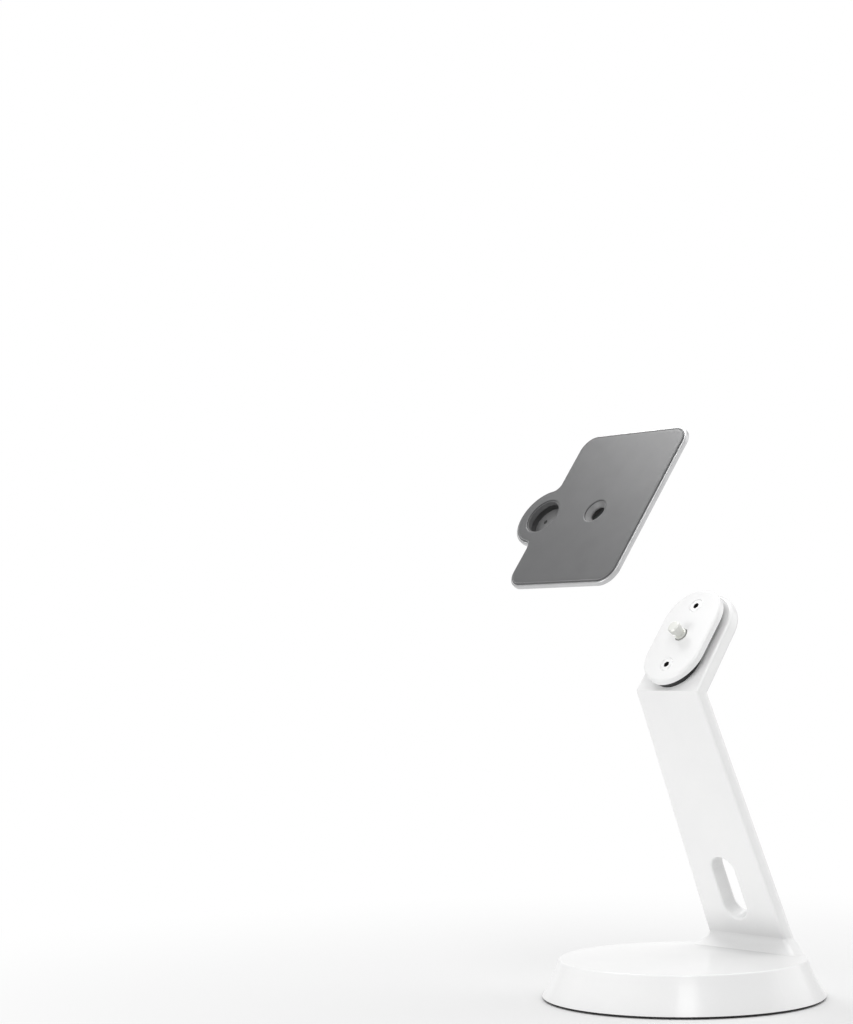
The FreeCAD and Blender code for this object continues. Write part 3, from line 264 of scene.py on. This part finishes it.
def paint_node(name, material):
    """Gives every slot of a carried-over piece one material."""
    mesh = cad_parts[name].data
    if not mesh.materials:
        mesh.materials.append(material)
    for number in range(len(mesh.materials)):
        mesh.materials[number] = material


foot_rubber = finish("foot_rubber", rubber_colour, (0.028, 0.028, 0.029, 1.0), 300.0, 4200.0,
                     (0.75, 0.9), 0.00003)

mm = 0.001
sharp_angle = math.radians(32)


def new_piece(name, mesh, material, body, *nodes):
    """Puts a finished mesh into the scene as a named piece that rides on a body and stands for CAD nodes."""
    piece = bpy.data.objects.new(name, mesh)
    bpy.context.scene.collection.objects.link(piece)
    if not mesh.materials:
        mesh.materials.append(material)
    mesh.shade_smooth()
    mesh.set_sharp_from_angle(angle=sharp_angle)
    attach(piece, body)
    if nodes:
        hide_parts(*nodes)
    return piece


def turn_profile(name, profile, steps):
    """A turned mesh of a profile of radius and height in millimetres that starts and ends on the axis."""
    work = bmesh.new()
    rings = []
    for radius, height in profile:
        if radius == 0:
            rings.append([work.verts.new((0, 0, height * mm))])
            continue
        angles = [2 * math.pi * step / steps for step in range(steps)]
        rings.append([work.verts.new((radius * mm * math.cos(a), radius * mm * math.sin(a), height * mm))
                      for a in angles])
    for low, high in zip(rings, rings[1:]):
        for step in range(steps):
            after = (step + 1) % steps
            corners = [low[step % len(low)], low[after % len(low)],
                       high[after % len(high)], high[step % len(high)]]
            work.faces.new(list(dict.fromkeys(corners)))
    bmesh.ops.recalc_face_normals(work, faces=work.faces)
    mesh = bpy.data.meshes.new(name)
    work.to_mesh(mesh)
    work.free()
    return mesh


def new_tree(name, inputs):
    """A Geometry Nodes tree with a mesh input and named inputs, given as name, kind, value."""
    tree = bpy.data.node_groups.new(name, "GeometryNodeTree")
    tree.interface.new_socket("Geometry", in_out="INPUT", socket_type="NodeSocketGeometry")
    for socket_name, kind, value in inputs:
        socket = tree.interface.new_socket(socket_name, in_out="INPUT", socket_type=kind)
        if value is not None:
            socket.default_value = value
    tree.interface.new_socket("Geometry", in_out="OUTPUT", socket_type="NodeSocketGeometry")
    return tree, tree.nodes.new("NodeGroupInput"), tree.nodes.new("NodeGroupOutput")


def grow_mesh(name, tree, start, values):
    """The plain mesh that a Geometry Nodes tree makes of a starting mesh, with its inputs set by name."""
    carrier = bpy.data.objects.new(name + "_grown", start)
    bpy.context.scene.collection.objects.link(carrier)
    modifier = carrier.modifiers.new("grown", "NODES")
    modifier.node_group = tree
    sockets = {item.name: item.identifier for item in tree.interface.items_tree
               if item.item_type == "SOCKET" and item.in_out == "INPUT"}
    for socket_name, value in values.items():
        modifier[sockets[socket_name]] = value
    bpy.context.view_layer.update()
    mesh = bpy.data.meshes.new_from_object(carrier.evaluated_get(bpy.context.evaluated_depsgraph_get()))
    mesh.name = name
    carrier.modifiers.remove(modifier)
    bpy.data.objects.remove(carrier)
    return mesh


# The ribs are full rings of one round section, each a step wider than the last.
rib_tree, rib_in, rib_out = new_tree("grip_ribs", [
    ("Rib Count", "NodeSocketInt", 12), ("First Radius", "NodeSocketFloat", 0.006),
    ("Gap", "NodeSocketFloat", 0.0036), ("Rib Radius", "NodeSocketFloat", 0.00025),
    ("Height", "NodeSocketFloat", 0.00025),
    ("Material", "NodeSocketMaterial", None)])
rib_spots = add_node(rib_tree, "GeometryNodeMeshLine")
rib_ring = add_node(rib_tree, "GeometryNodeCurvePrimitiveCircle", Resolution=160, Radius=1.0)
rib_index = rib_tree.nodes.new("GeometryNodeInputIndex")
rib_step = add_node(rib_tree, "ShaderNodeMath", {"operation": "MULTIPLY_ADD"})
rib_grow = rib_tree.nodes.new("GeometryNodeInstanceOnPoints")
rib_real = rib_tree.nodes.new("GeometryNodeRealizeInstances")
rib_section = add_node(rib_tree, "GeometryNodeCurvePrimitiveCircle", Resolution=10)
rib_sweep = rib_tree.nodes.new("GeometryNodeCurveToMesh")
rib_lift = rib_tree.nodes.new("ShaderNodeCombineXYZ")
rib_move = rib_tree.nodes.new("GeometryNodeTransform")
rib_all = rib_tree.nodes.new("GeometryNodeJoinGeometry")
rib_whole = rib_tree.nodes.new("GeometryNodeRealizeInstances")
rib_paint = rib_tree.nodes.new("GeometryNodeSetMaterial")
rib_spots.inputs["Offset"].default_value = (0.0, 0.0, 0.0)
join(rib_tree, rib_in.outputs["Rib Count"], rib_spots.inputs["Count"],
     rib_index.outputs[0], rib_step.inputs[0], rib_in.outputs["Gap"], rib_step.inputs[1],
     rib_in.outputs["First Radius"], rib_step.inputs[2],
     rib_spots.outputs[0], rib_grow.inputs["Points"], rib_ring.outputs[0], rib_grow.inputs["Instance"],
     rib_step.outputs[0], rib_grow.inputs["Scale"], rib_grow.outputs[0], rib_real.inputs[0],
     rib_real.outputs[0], rib_sweep.inputs["Curve"],
     rib_section.outputs[0], rib_sweep.inputs["Profile Curve"],
     rib_in.outputs["Rib Radius"], rib_section.inputs["Radius"],
     rib_in.outputs["Height"], rib_lift.inputs["Z"], rib_sweep.outputs[0], rib_move.inputs["Geometry"],
     rib_lift.outputs[0], rib_move.inputs["Translation"],
     rib_in.outputs["Geometry"], rib_all.inputs[0], rib_move.outputs[0], rib_all.inputs[0],
     rib_all.outputs[0], rib_whole.inputs[0], rib_whole.outputs[0], rib_paint.inputs["Geometry"],
     rib_in.outputs["Material"], rib_paint.inputs["Material"], rib_paint.outputs[0], rib_out.inputs[0])

pad_profile = [(0, 0.25), (49.1, 0.25), (49.32, 0.36), (49.4, 0.5), (49.4, 0.72), (49.3, 0.84), (49.1, 0.9),
               (0, 0.9)]
pad_steps = 256
pad_disc = turn_profile("foot_pad", pad_profile, pad_steps)
pad_mesh = grow_mesh("foot_pad", rib_tree, pad_disc, {"Material": foot_rubber})
new_piece("foot_pad", pad_mesh, foot_rubber, "stand", "base_pad")


# Bottom plate, weight and screws
# A bright zinc-coated steel disc closes the base from below, with a steel weight over it for a steady
# stand. Countersunk screws go up through both into the cover, and two cap screws into the arm's foot.
zinc_steel = finish("zinc_steel", (0.55, 0.56, 0.57, 1.0), (0.44, 0.45, 0.47, 1.0), 160.0, 3000.0,
                    (0.25, 0.42), 0.00001, metallic=1.0)
for name in ("base_plate", "base_weight", "base_screws", "arm_screws"):
    paint_node(name, zinc_steel)


# Base cover
# A turned shell of white painted steel whose side sinks in slightly, with a softened rim. The paint is a
# smooth satin coat with a faint skin like an egg's.
# The white paint takes painted shade in the slot, the fold at the arm's foot and other hollows low down.
white_paint = finish("white_paint", (0.86, 0.86, 0.858, 1.0), (0.835, 0.836, 0.836, 1.0), 35.0, 900.0,
                     (0.26, 0.40), 0.00001, coat=0.5, coat_roughness=0.14, hollow_shade=0.36)
paint_node("base_cover", white_paint)


# Arm
# One casting: a flared foot with mitred corners, a leaning slab with the cable slot low down, and the
# tilted round-ended head that carries the swivel.
# The arm's slot and the fold at its foot darken with the white paint's painted shade.
paint_node("arm", white_paint)


# Face plate and its screws
# A pill-shaped plate stands off the head on two sleeves. The gap is filled with black plastic, whose black
# is partly the plastic's own and partly painted shade for the gap, seen as a dark line all round under it.
# Two small countersunk screws with hexagon sockets hold it.
paint_node("face_plate", white_paint)
paint_node("spacer_bushes", zinc_steel)
bright_nickel = finish("bright_nickel", (0.68, 0.68, 0.65, 1.0), (0.61, 0.61, 0.58, 1.0), 200.0, 5000.0,
                       (0.2, 0.34), 0.000006, metallic=1.0)

# One screw: a bevelled head that narrows to its shank, with a hexagon socket cut into it, repeated on a grid.
screw_tree, screw_in, screw_out = new_tree("screw_set", [
    ("Columns", "NodeSocketInt", 1), ("Rows", "NodeSocketInt", 2), ("Column Span", "NodeSocketFloat", 0.0),
    ("Row Span", "NodeSocketFloat", 0.026), ("Head Radius", "NodeSocketFloat", 0.0027),
    ("Head Foot Radius", "NodeSocketFloat", 0.0015), ("Head Height", "NodeSocketFloat", 0.0012),
    ("Head Bevel", "NodeSocketFloat", 0.0003), ("Shank Radius", "NodeSocketFloat", 0.0015),
    ("Shank Length", "NodeSocketFloat", 0.0086), ("Socket Radius", "NodeSocketFloat", 0.00125),
    ("Socket Depth", "NodeSocketFloat", 0.0016), ("Turn Seed", "NodeSocketInt", 3),
    ("Socket Material", "NodeSocketMaterial", None), ("Material", "NodeSocketMaterial", None)])


def screw_sum(operation, first, second, third=None):
    """A calculation with inputs of the screw tree."""
    node = add_node(screw_tree, "ShaderNodeMath", {"operation": operation})
    for number, value in enumerate((first, second, third)):
        if value is None:
            continue
        if isinstance(value, float):
            node.inputs[number].default_value = value
        else:
            screw_tree.links.new(value, node.inputs[number])
    return node.outputs[0]


def lower(geometry, height):
    """Moves geometry of the screw tree along the screw's axis."""
    where = screw_tree.nodes.new("ShaderNodeCombineXYZ")
    move = screw_tree.nodes.new("GeometryNodeTransform")
    join(screw_tree, height, where.inputs["Z"], geometry, move.inputs["Geometry"],
         where.outputs[0], move.inputs["Translation"])
    return move.outputs[0]


screw_size = screw_in.outputs
bevel_radius = screw_sum("SUBTRACT", screw_size["Head Radius"], screw_size["Head Bevel"])
bevel_cone = add_node(screw_tree, "GeometryNodeMeshCone", Vertices=48)
head_cone = add_node(screw_tree, "GeometryNodeMeshCone", Vertices=48)
shank_rod = add_node(screw_tree, "GeometryNodeMeshCylinder", Vertices=48)
socket_rod = add_node(screw_tree, "GeometryNodeMeshCylinder", Vertices=6)
head_depth = screw_sum("SUBTRACT", screw_size["Head Height"], screw_size["Head Bevel"])
join(screw_tree, bevel_radius, bevel_cone.inputs["Radius Top"], screw_size["Head Radius"],
     bevel_cone.inputs["Radius Bottom"], screw_size["Head Bevel"], bevel_cone.inputs["Depth"],
     screw_size["Head Radius"], head_cone.inputs["Radius Top"], screw_size["Head Foot Radius"],
     head_cone.inputs["Radius Bottom"], head_depth, head_cone.inputs["Depth"],
     screw_size["Shank Radius"], shank_rod.inputs["Radius"],
     screw_size["Shank Length"], shank_rod.inputs["Depth"],
     screw_size["Socket Radius"], socket_rod.inputs["Radius"],
     screw_sum("MULTIPLY", screw_size["Socket Depth"], 2.0), socket_rod.inputs["Depth"])
shank_height = screw_sum("MULTIPLY_ADD", screw_size["Shank Length"], -0.5,
                         screw_sum("MULTIPLY", screw_size["Head Height"], -1.0))
solid = screw_tree.nodes.new("GeometryNodeMeshBoolean")
solid.operation = "UNION"
for shape in (lower(bevel_cone.outputs[0], screw_sum("MULTIPLY", screw_size["Head Bevel"], -1.0)),
              lower(head_cone.outputs[0], screw_sum("MULTIPLY", screw_size["Head Height"], -1.0)),
              lower(shank_rod.outputs[0], shank_height)):
    screw_tree.links.new(shape, solid.inputs["Mesh 2"])
pierced = screw_tree.nodes.new("GeometryNodeMeshBoolean")
pierced.operation = "DIFFERENCE"
# The socket's faces, which take the near-black painted shade, are told by their place: near the axis, a
# little under the head's top and down to slightly past the socket's floor.
under_top_height = -0.00005
past_floor_share = -1.1
face_place = screw_tree.nodes.new("GeometryNodeInputPosition")
face_flat = add_node(screw_tree, "ShaderNodeVectorMath", {"operation": "MULTIPLY"})
face_flat.inputs[1].default_value = (1.0, 1.0, 0.0)
face_reach = add_node(screw_tree, "ShaderNodeVectorMath", {"operation": "LENGTH"})
face_parts = screw_tree.nodes.new("ShaderNodeSeparateXYZ")
join(screw_tree, face_place.outputs[0], face_flat.inputs[0], face_flat.outputs[0], face_reach.inputs[0],
     face_place.outputs[0], face_parts.inputs[0])
near_axis = screw_sum("LESS_THAN", face_reach.outputs["Value"], screw_size["Socket Radius"])
under_top = screw_sum("LESS_THAN", face_parts.outputs["Z"], under_top_height)
socket_floor = screw_sum("MULTIPLY", screw_size["Socket Depth"], past_floor_share)
over_floor = screw_sum("GREATER_THAN", face_parts.outputs["Z"], socket_floor)
in_socket = screw_sum("MULTIPLY", screw_sum("MULTIPLY", near_axis, under_top), over_floor)
socket_mark = add_node(screw_tree, "GeometryNodeStoreNamedAttribute",
                       {"data_type": "FLOAT", "domain": "FACE"})
socket_mark.inputs["Name"].default_value = "socket"
socket_read = add_node(screw_tree, "GeometryNodeInputNamedAttribute", {"data_type": "FLOAT"})
socket_read.inputs["Name"].default_value = "socket"
outside_socket = screw_sum("LESS_THAN", socket_read.outputs["Attribute"], 0.5)
socket_paint = screw_tree.nodes.new("GeometryNodeSetMaterial")
join(screw_tree, pierced.outputs[0], socket_mark.inputs["Geometry"], in_socket, socket_mark.inputs["Value"],
     socket_mark.outputs[0], socket_paint.inputs["Geometry"],
     screw_size["Socket Material"], socket_paint.inputs["Material"])
screw_grid = screw_tree.nodes.new("GeometryNodeMeshGrid")
screw_turn = add_node(screw_tree, "FunctionNodeRandomValue", {"data_type": "FLOAT"})
screw_angle = screw_tree.nodes.new("ShaderNodeCombineXYZ")
screw_place = screw_tree.nodes.new("GeometryNodeInstanceOnPoints")
screw_real = screw_tree.nodes.new("GeometryNodeRealizeInstances")
screw_paint = screw_tree.nodes.new("GeometryNodeSetMaterial")
join(screw_tree, solid.outputs[0], pierced.inputs["Mesh 1"], socket_rod.outputs[0], pierced.inputs["Mesh 2"],
     screw_size["Columns"], screw_grid.inputs["Vertices X"],
     screw_size["Rows"], screw_grid.inputs["Vertices Y"],
     screw_size["Column Span"], screw_grid.inputs["Size X"],
     screw_size["Row Span"], screw_grid.inputs["Size Y"],
     screw_size["Turn Seed"], screw_turn.inputs["Seed"], screw_turn.outputs[1], screw_angle.inputs["Z"],
     screw_grid.outputs[0], screw_place.inputs["Points"],
     socket_paint.outputs[0], screw_place.inputs["Instance"],
     screw_angle.outputs[0], screw_place.inputs["Rotation"], screw_place.outputs[0], screw_real.inputs[0],
     screw_real.outputs[0], screw_paint.inputs["Geometry"], outside_socket, screw_paint.inputs["Selection"],
     screw_size["Material"], screw_paint.inputs["Material"],
     screw_paint.outputs[0], screw_out.inputs[0])

head_tilt = math.radians(53)
head_along = Vector((0, math.cos(head_tilt), math.sin(head_tilt)))
head_out = Vector((0, -math.sin(head_tilt), math.cos(head_tilt)))
face_centre = Vector((0, 3.098, 128.369)) * mm
face_screw_sink = 0.1


def frame_at(centre, across=0.0, along=0.0, out=0.0):
    """The place of a point in the head's or the plate's frame, given in millimetres."""
    turned = Matrix((Vector((1, 0, 0)), head_along, head_out)).transposed().to_4x4()
    return Matrix.Translation(centre) @ turned @ Matrix.Translation(Vector((across, along, out)) * mm)


screw_steel = finish("screw_steel", (0.86, 0.86, 0.86, 1.0), (0.80, 0.80, 0.80, 1.0), 300.0, 5000.0,
                     (0.5, 0.6), 0.000006, metallic=1.0)
# The sockets' faces are painted near-black: painted shade in the hexagon recess.
socket_shade = finish("socket_shade", (0.012, 0.012, 0.012, 1.0), (0.02, 0.02, 0.02, 1.0), 300.0, 5000.0,
                      (0.6, 0.75), 0.000006)
face_screws = grow_mesh("face_screws", screw_tree, bpy.data.meshes.new("face_screws_start"),
                        {"Material": screw_steel, "Socket Material": socket_shade})
face_screws.transform(frame_at(face_centre, out=-face_screw_sink))
new_piece("face_screws", face_screws, screw_steel, "stand", "face_plate_screws")
# The spacer's black is partly its plastic and partly painted shade for the gap under the plate.
black_plastic = finish("black_plastic", (0.022, 0.022, 0.023, 1.0), (0.03, 0.03, 0.031, 1.0), 200.0, 3000.0,
                       (0.6, 0.8), 0.00002)
paint_node("face_spacer", black_plastic)


# Swivel
# The stud turns in a bronze bush with a friction washer, a stop washer against its pin, a spring washer
# and a lock nut, under a white cap at the head's rear.
bearing_bronze = finish("bearing_bronze", (0.55, 0.36, 0.19, 1.0), (0.47, 0.30, 0.15, 1.0), 250.0, 4000.0,
                        (0.3, 0.5), 0.00001, metallic=1.0)
paint_node("stud_bush", bearing_bronze)
for name in ("stop_pin", "friction_washer", "stop_washer", "spring_washer", "lock_nut"):
    paint_node(name, zinc_steel)
paint_node("rear_cap", white_paint)
stud_nickel = finish("stud_nickel", (0.74, 0.745, 0.715, 1.0), (0.68, 0.685, 0.655, 1.0), 120.0, 5000.0,
                     (0.42, 0.5), 0.000004, metallic=1.0)
paint_node("locking_stud", stud_nickel)


# Plate body
# The carrier behind the foam: a plate of satin metal with softened edges and a round lobe about the
# lock's well. Its skin is a faint even grain.
plate_metal = finish("plate_metal", (0.62, 0.62, 0.625, 1.0), (0.56, 0.56, 0.565, 1.0), 80.0, 3500.0,
                     (0.30, 0.42), 0.000008, metallic=1.0)
paint_node("plate_body", plate_metal)


# Foam pad
# The dark grey foam sheet that sticks to the tablet, cut with a die: its edges are a little rounded and
# its skin is smooth with fine cells. Two round openings show the stud's hole and the lock's well.
foam_dark = finish("foam", (0.100, 0.101, 0.103, 1.0), (0.091, 0.092, 0.094, 1.0), 120.0, 3000.0,
                   (0.27, 0.33), 0.00001)
plate_centre = Vector((0, -31.544, 167.308)) * mm
foam_left, foam_right, foam_low, foam_high = 26.0, 25.7, 31.4, 35.5
foam_corner, lobe_radius, lobe_hollow = 6.0, 11.5, 3.5
lock_left, lock_low = 26.8, 0.6
foam_rear, foam_front = 7.5, 7.9
hole_radius, well_radius = 4.6, 7.2
foam_openings = ((0.0, 0.0, hole_radius), (-lock_left, -lock_low, well_radius))
# How far the section draws in from the outline, and its height: a fine bead runs along the outer edge.
rim_section = ((0.0, foam_rear), (0.0, 7.66), (0.02, 7.76), (0.08, 7.84), (0.19, 7.885), (0.32, foam_front),
               (0.45, 7.885), (0.62, 7.855), (0.8, 7.85), (1.0, 7.866), (1.25, 7.875), (1.8, 7.875))
hole_section = ((0.0, foam_rear), (0.0, 7.7), (0.02, 7.79), (0.08, 7.84), (0.2, 7.875), (0.6, 7.875))
ring_steps = 72
# The mesh that fills the sheet: half its span, its spacing and its distance from any edge. Its front dips
# in slow waves, given by their depth, their pitch across and along, and how far and how fast they bend.
mesh_half = 40
mesh_gap = 1.5
mesh_clearance = 0.8
edge_slack = 0.01
merge_distance = 1e-7
wave_depth = 0.008
wave_across, wave_along = 0.35, 0.29
wave_bend, wave_bend_pitch = 1.3, 0.21


def arc_points(centre, radius, start, end):
    """Points of an arc in degrees, its first one left out."""
    count = max(3, round(abs(end - start) / 5))
    angles = [math.radians(start + (end - start) * step / count) for step in range(1, count + 1)]
    return [(centre[0] + radius * math.cos(a), centre[1] + radius * math.sin(a)) for a in angles]


def straight_points(first, last, count):
    """Points of a straight run, its first one left out."""
    return [(first[0] + (last[0] - first[0]) * step / count, first[1] + (last[1] - first[1]) * step / count)
            for step in range(1, count + 1)]


def foam_outline(inset):
    """The pad's outline, drawn in by inset, with the same number of points for any inset."""
    corner = foam_corner - inset
    lobe = lobe_radius - inset
    hollow = lobe_hollow + inset
    left, right, low, high = foam_left - inset, foam_right - inset, foam_low - inset, foam_high - inset
    across = left + hollow - lock_left
    reach = math.sqrt((lobe + hollow) ** 2 - across ** 2)
    lean = math.degrees(math.atan2(reach, -across))
    top, bottom = -lock_low + reach, -lock_low - reach
    # Straight runs give their ends and number of points, arcs their centre, radius and angles.
    runs = [
        ((-left + corner, -low), (right - corner, -low), 26),
        ((right - corner, -low + corner), corner, -90, 0),
        ((right, -low + corner), (right, high - corner), 36),
        ((right - corner, high - corner), corner, 0, 90),
        ((right - corner, high), (-left + corner, high), 26),
        ((-left + corner, high - corner), corner, 90, 180),
        ((-left, high - corner), (-left, top), 12),
        ((-left - hollow, top), hollow, 0, lean - 180),
        ((-lock_left, -lock_low), lobe, lean, 360 - lean),
        ((-left - hollow, bottom), hollow, 180 - lean, 0),
        ((-left, bottom), (-left, -low + corner), 10),
        ((-left + corner, -low + corner), corner, 180, 270),
    ]
    points = []
    for run in runs:
        points += straight_points(*run) if len(run) == 3 else arc_points(*run)
    return points


def ring_points(x, y, radius):
    """A full circle, run backwards as the edge of an opening."""
    angles = [-2 * math.pi * step / ring_steps for step in range(ring_steps)]
    return [(x + radius * math.cos(a), y + radius * math.sin(a)) for a in angles]


def inside(spot, outline):
    """True for a point within a closed outline."""
    within = False
    for (x1, y1), (x2, y2) in zip(outline, outline[1:] + outline[:1]):
        if (y1 > spot[1]) != (y2 > spot[1]) and spot[0] < x1 + (spot[1] - y1) / (y2 - y1) * (x2 - x1):
            within = not within
    return within


def build_foam():
    """The sheet as rings round its rim and openings, closed in front and behind by a fine mesh."""
    loops = [([foam_outline(inset) for inset, height in rim_section], rim_section)]
    for x, y, radius in foam_openings:
        loops.append(([ring_points(x, y, radius + inset) for inset, height in hole_section], hole_section))
    work = bmesh.new()
    edge_rings = []
    for loop, section in loops:
        rings = [[work.verts.new((x * mm, y * mm, height * mm)) for x, y in points]
                 for points, (inset, height) in zip(loop, section)]
        for low, high in zip(rings, rings[1:]):
            for step in range(len(low)):
                after = (step + 1) % len(low)
                work.faces.new((low[step], low[after], high[after], high[step]))
        edge_rings.append((loop, rings))
    for end, height in ((0, foam_rear), (-1, rim_section[-1][1])):
        grown = hole_section[end][0]
        spots, edges, given = [], [], []
        for loop, rings in edge_rings:
            start = len(spots)
            spots += [Vector(point) for point in loop[end]]
            given += rings[end]
            edges += [(start + step, start + (step + 1) % len(loop[end])) for step in range(len(loop[end]))]
        rim = loops[0][0][end]
        steps = range(int(2 * mesh_half / mesh_gap))
        for spot in [(-mesh_half + column * mesh_gap, -mesh_half + row * mesh_gap)
                     for column in steps for row in steps]:
            clear = all(math.dist(spot, (x, y)) > radius + grown + mesh_clearance
                        for x, y, radius in foam_openings)
            if clear and inside(spot, rim) and all(math.dist(spot, point) > mesh_clearance for point in rim):
                spots.append(Vector(spot))
        made = delaunay_2d_cdt(spots, edges, [], 0, merge_distance)
        points, triangles, origins = made[0], made[2], made[3]
        corners = []
        for point, source in zip(points, origins):
            known = [number for number in source if number < len(given)]
            if known:
                corners.append(given[known[0]])
            else:
                bend = point.x * wave_across + wave_bend * math.sin(point.y * wave_bend_pitch)
                wave = wave_depth * (1 + math.sin(bend) * math.cos(point.y * wave_along))
                sink = wave if end else 0.0
                corners.append(work.verts.new((point.x * mm, point.y * mm, (height - sink) * mm)))
        for triangle in triangles:
            middle = sum((points[number] for number in triangle), Vector((0, 0))) / 3
            if inside(middle, rim) and all(math.dist(middle, (x, y)) > radius + grown - edge_slack
                                           for x, y, radius in foam_openings):
                work.faces.new([corners[number] for number in triangle])
    bmesh.ops.recalc_face_normals(work, faces=work.faces)
    mesh = bpy.data.meshes.new("foam_pad")
    work.to_mesh(mesh)
    work.free()
    mesh.transform(frame_at(plate_centre))
    return mesh


foam_pad = new_piece("foam_pad", build_foam(), foam_dark, "plate", "adhesive_pad")


# Lock
# A die-cast housing behind the plate holds the key lock: a nickel cylinder whose pin drives the latch.
# The stud's guide is dark grey moulded plastic, the cam under the well a shade darker and the well's
# liner darker still; these dark tones and the housing's dark grey are partly their own colour and partly
# painted shade for the deep hole and well. Four small screws with hexagon sockets hold the housing.
dark_zinc = finish("dark_zinc", (0.21, 0.21, 0.213, 1.0), (0.18, 0.18, 0.183, 1.0), 200.0, 2500.0, (0.4, 0.6),
                   0.00002, metallic=0.1)
latch_zinc = finish("latch_zinc", (0.78, 0.78, 0.78, 1.0), (0.70, 0.70, 0.70, 1.0), 200.0, 3000.0, (0.4, 0.5),
                    0.00001, metallic=0.2)
guide_grey = finish("guide_grey", (0.20, 0.20, 0.202, 1.0), (0.175, 0.175, 0.177, 1.0), 260.0, 3500.0,
                    (0.4, 0.5), 0.00001)
cam_grey = finish("cam_grey", (0.18, 0.18, 0.182, 1.0), (0.155, 0.155, 0.157, 1.0), 260.0, 3500.0,
                  (0.4, 0.5), 0.00001)
# The liner's near-black is partly its plastic and partly painted shade for the deep well.
liner_dark_and_shade = finish("liner_dark_and_shade", (0.15, 0.15, 0.152, 1.0), (0.13, 0.13, 0.132, 1.0), 260.0, 3500.0,
                    (0.4, 0.5), 0.00001)
paint_node("lock_housing", dark_zinc)
paint_node("guide_bush", guide_grey)
paint_node("lock_cam", cam_grey)
paint_node("well_liner", liner_dark_and_shade)
paint_node("lock_cylinder", bright_nickel)
for name in ("latch_plate", "drive_pin"):
    paint_node(name, latch_zinc)
ear_screws = grow_mesh("ear_screws", screw_tree, bpy.data.meshes.new("ear_screws_start"), {
    "Columns": 2, "Rows": 2, "Column Span": 26.8 * mm, "Row Span": 22.8 * mm, "Head Radius": 1.8 * mm,
    "Head Foot Radius": 1.75 * mm, "Head Height": 1.1 * mm, "Head Bevel": 0.25 * mm, "Shank Radius": 1.0 * mm,
    "Shank Length": 2.6 * mm, "Socket Radius": 0.85 * mm, "Socket Depth": 0.7 * mm, "Turn Seed": 8,
    "Material": zinc_steel, "Socket Material": socket_shade})
flip = Matrix.Rotation(math.pi, 4, "X")
ears_left = 5.0
ear_screw_height = 3.3
ear_screws.transform(frame_at(plate_centre, -ears_left, 0.0, ear_screw_height) @ flip)
new_piece("ear_screws", ear_screws, zinc_steel, "plate", "housing_screws")
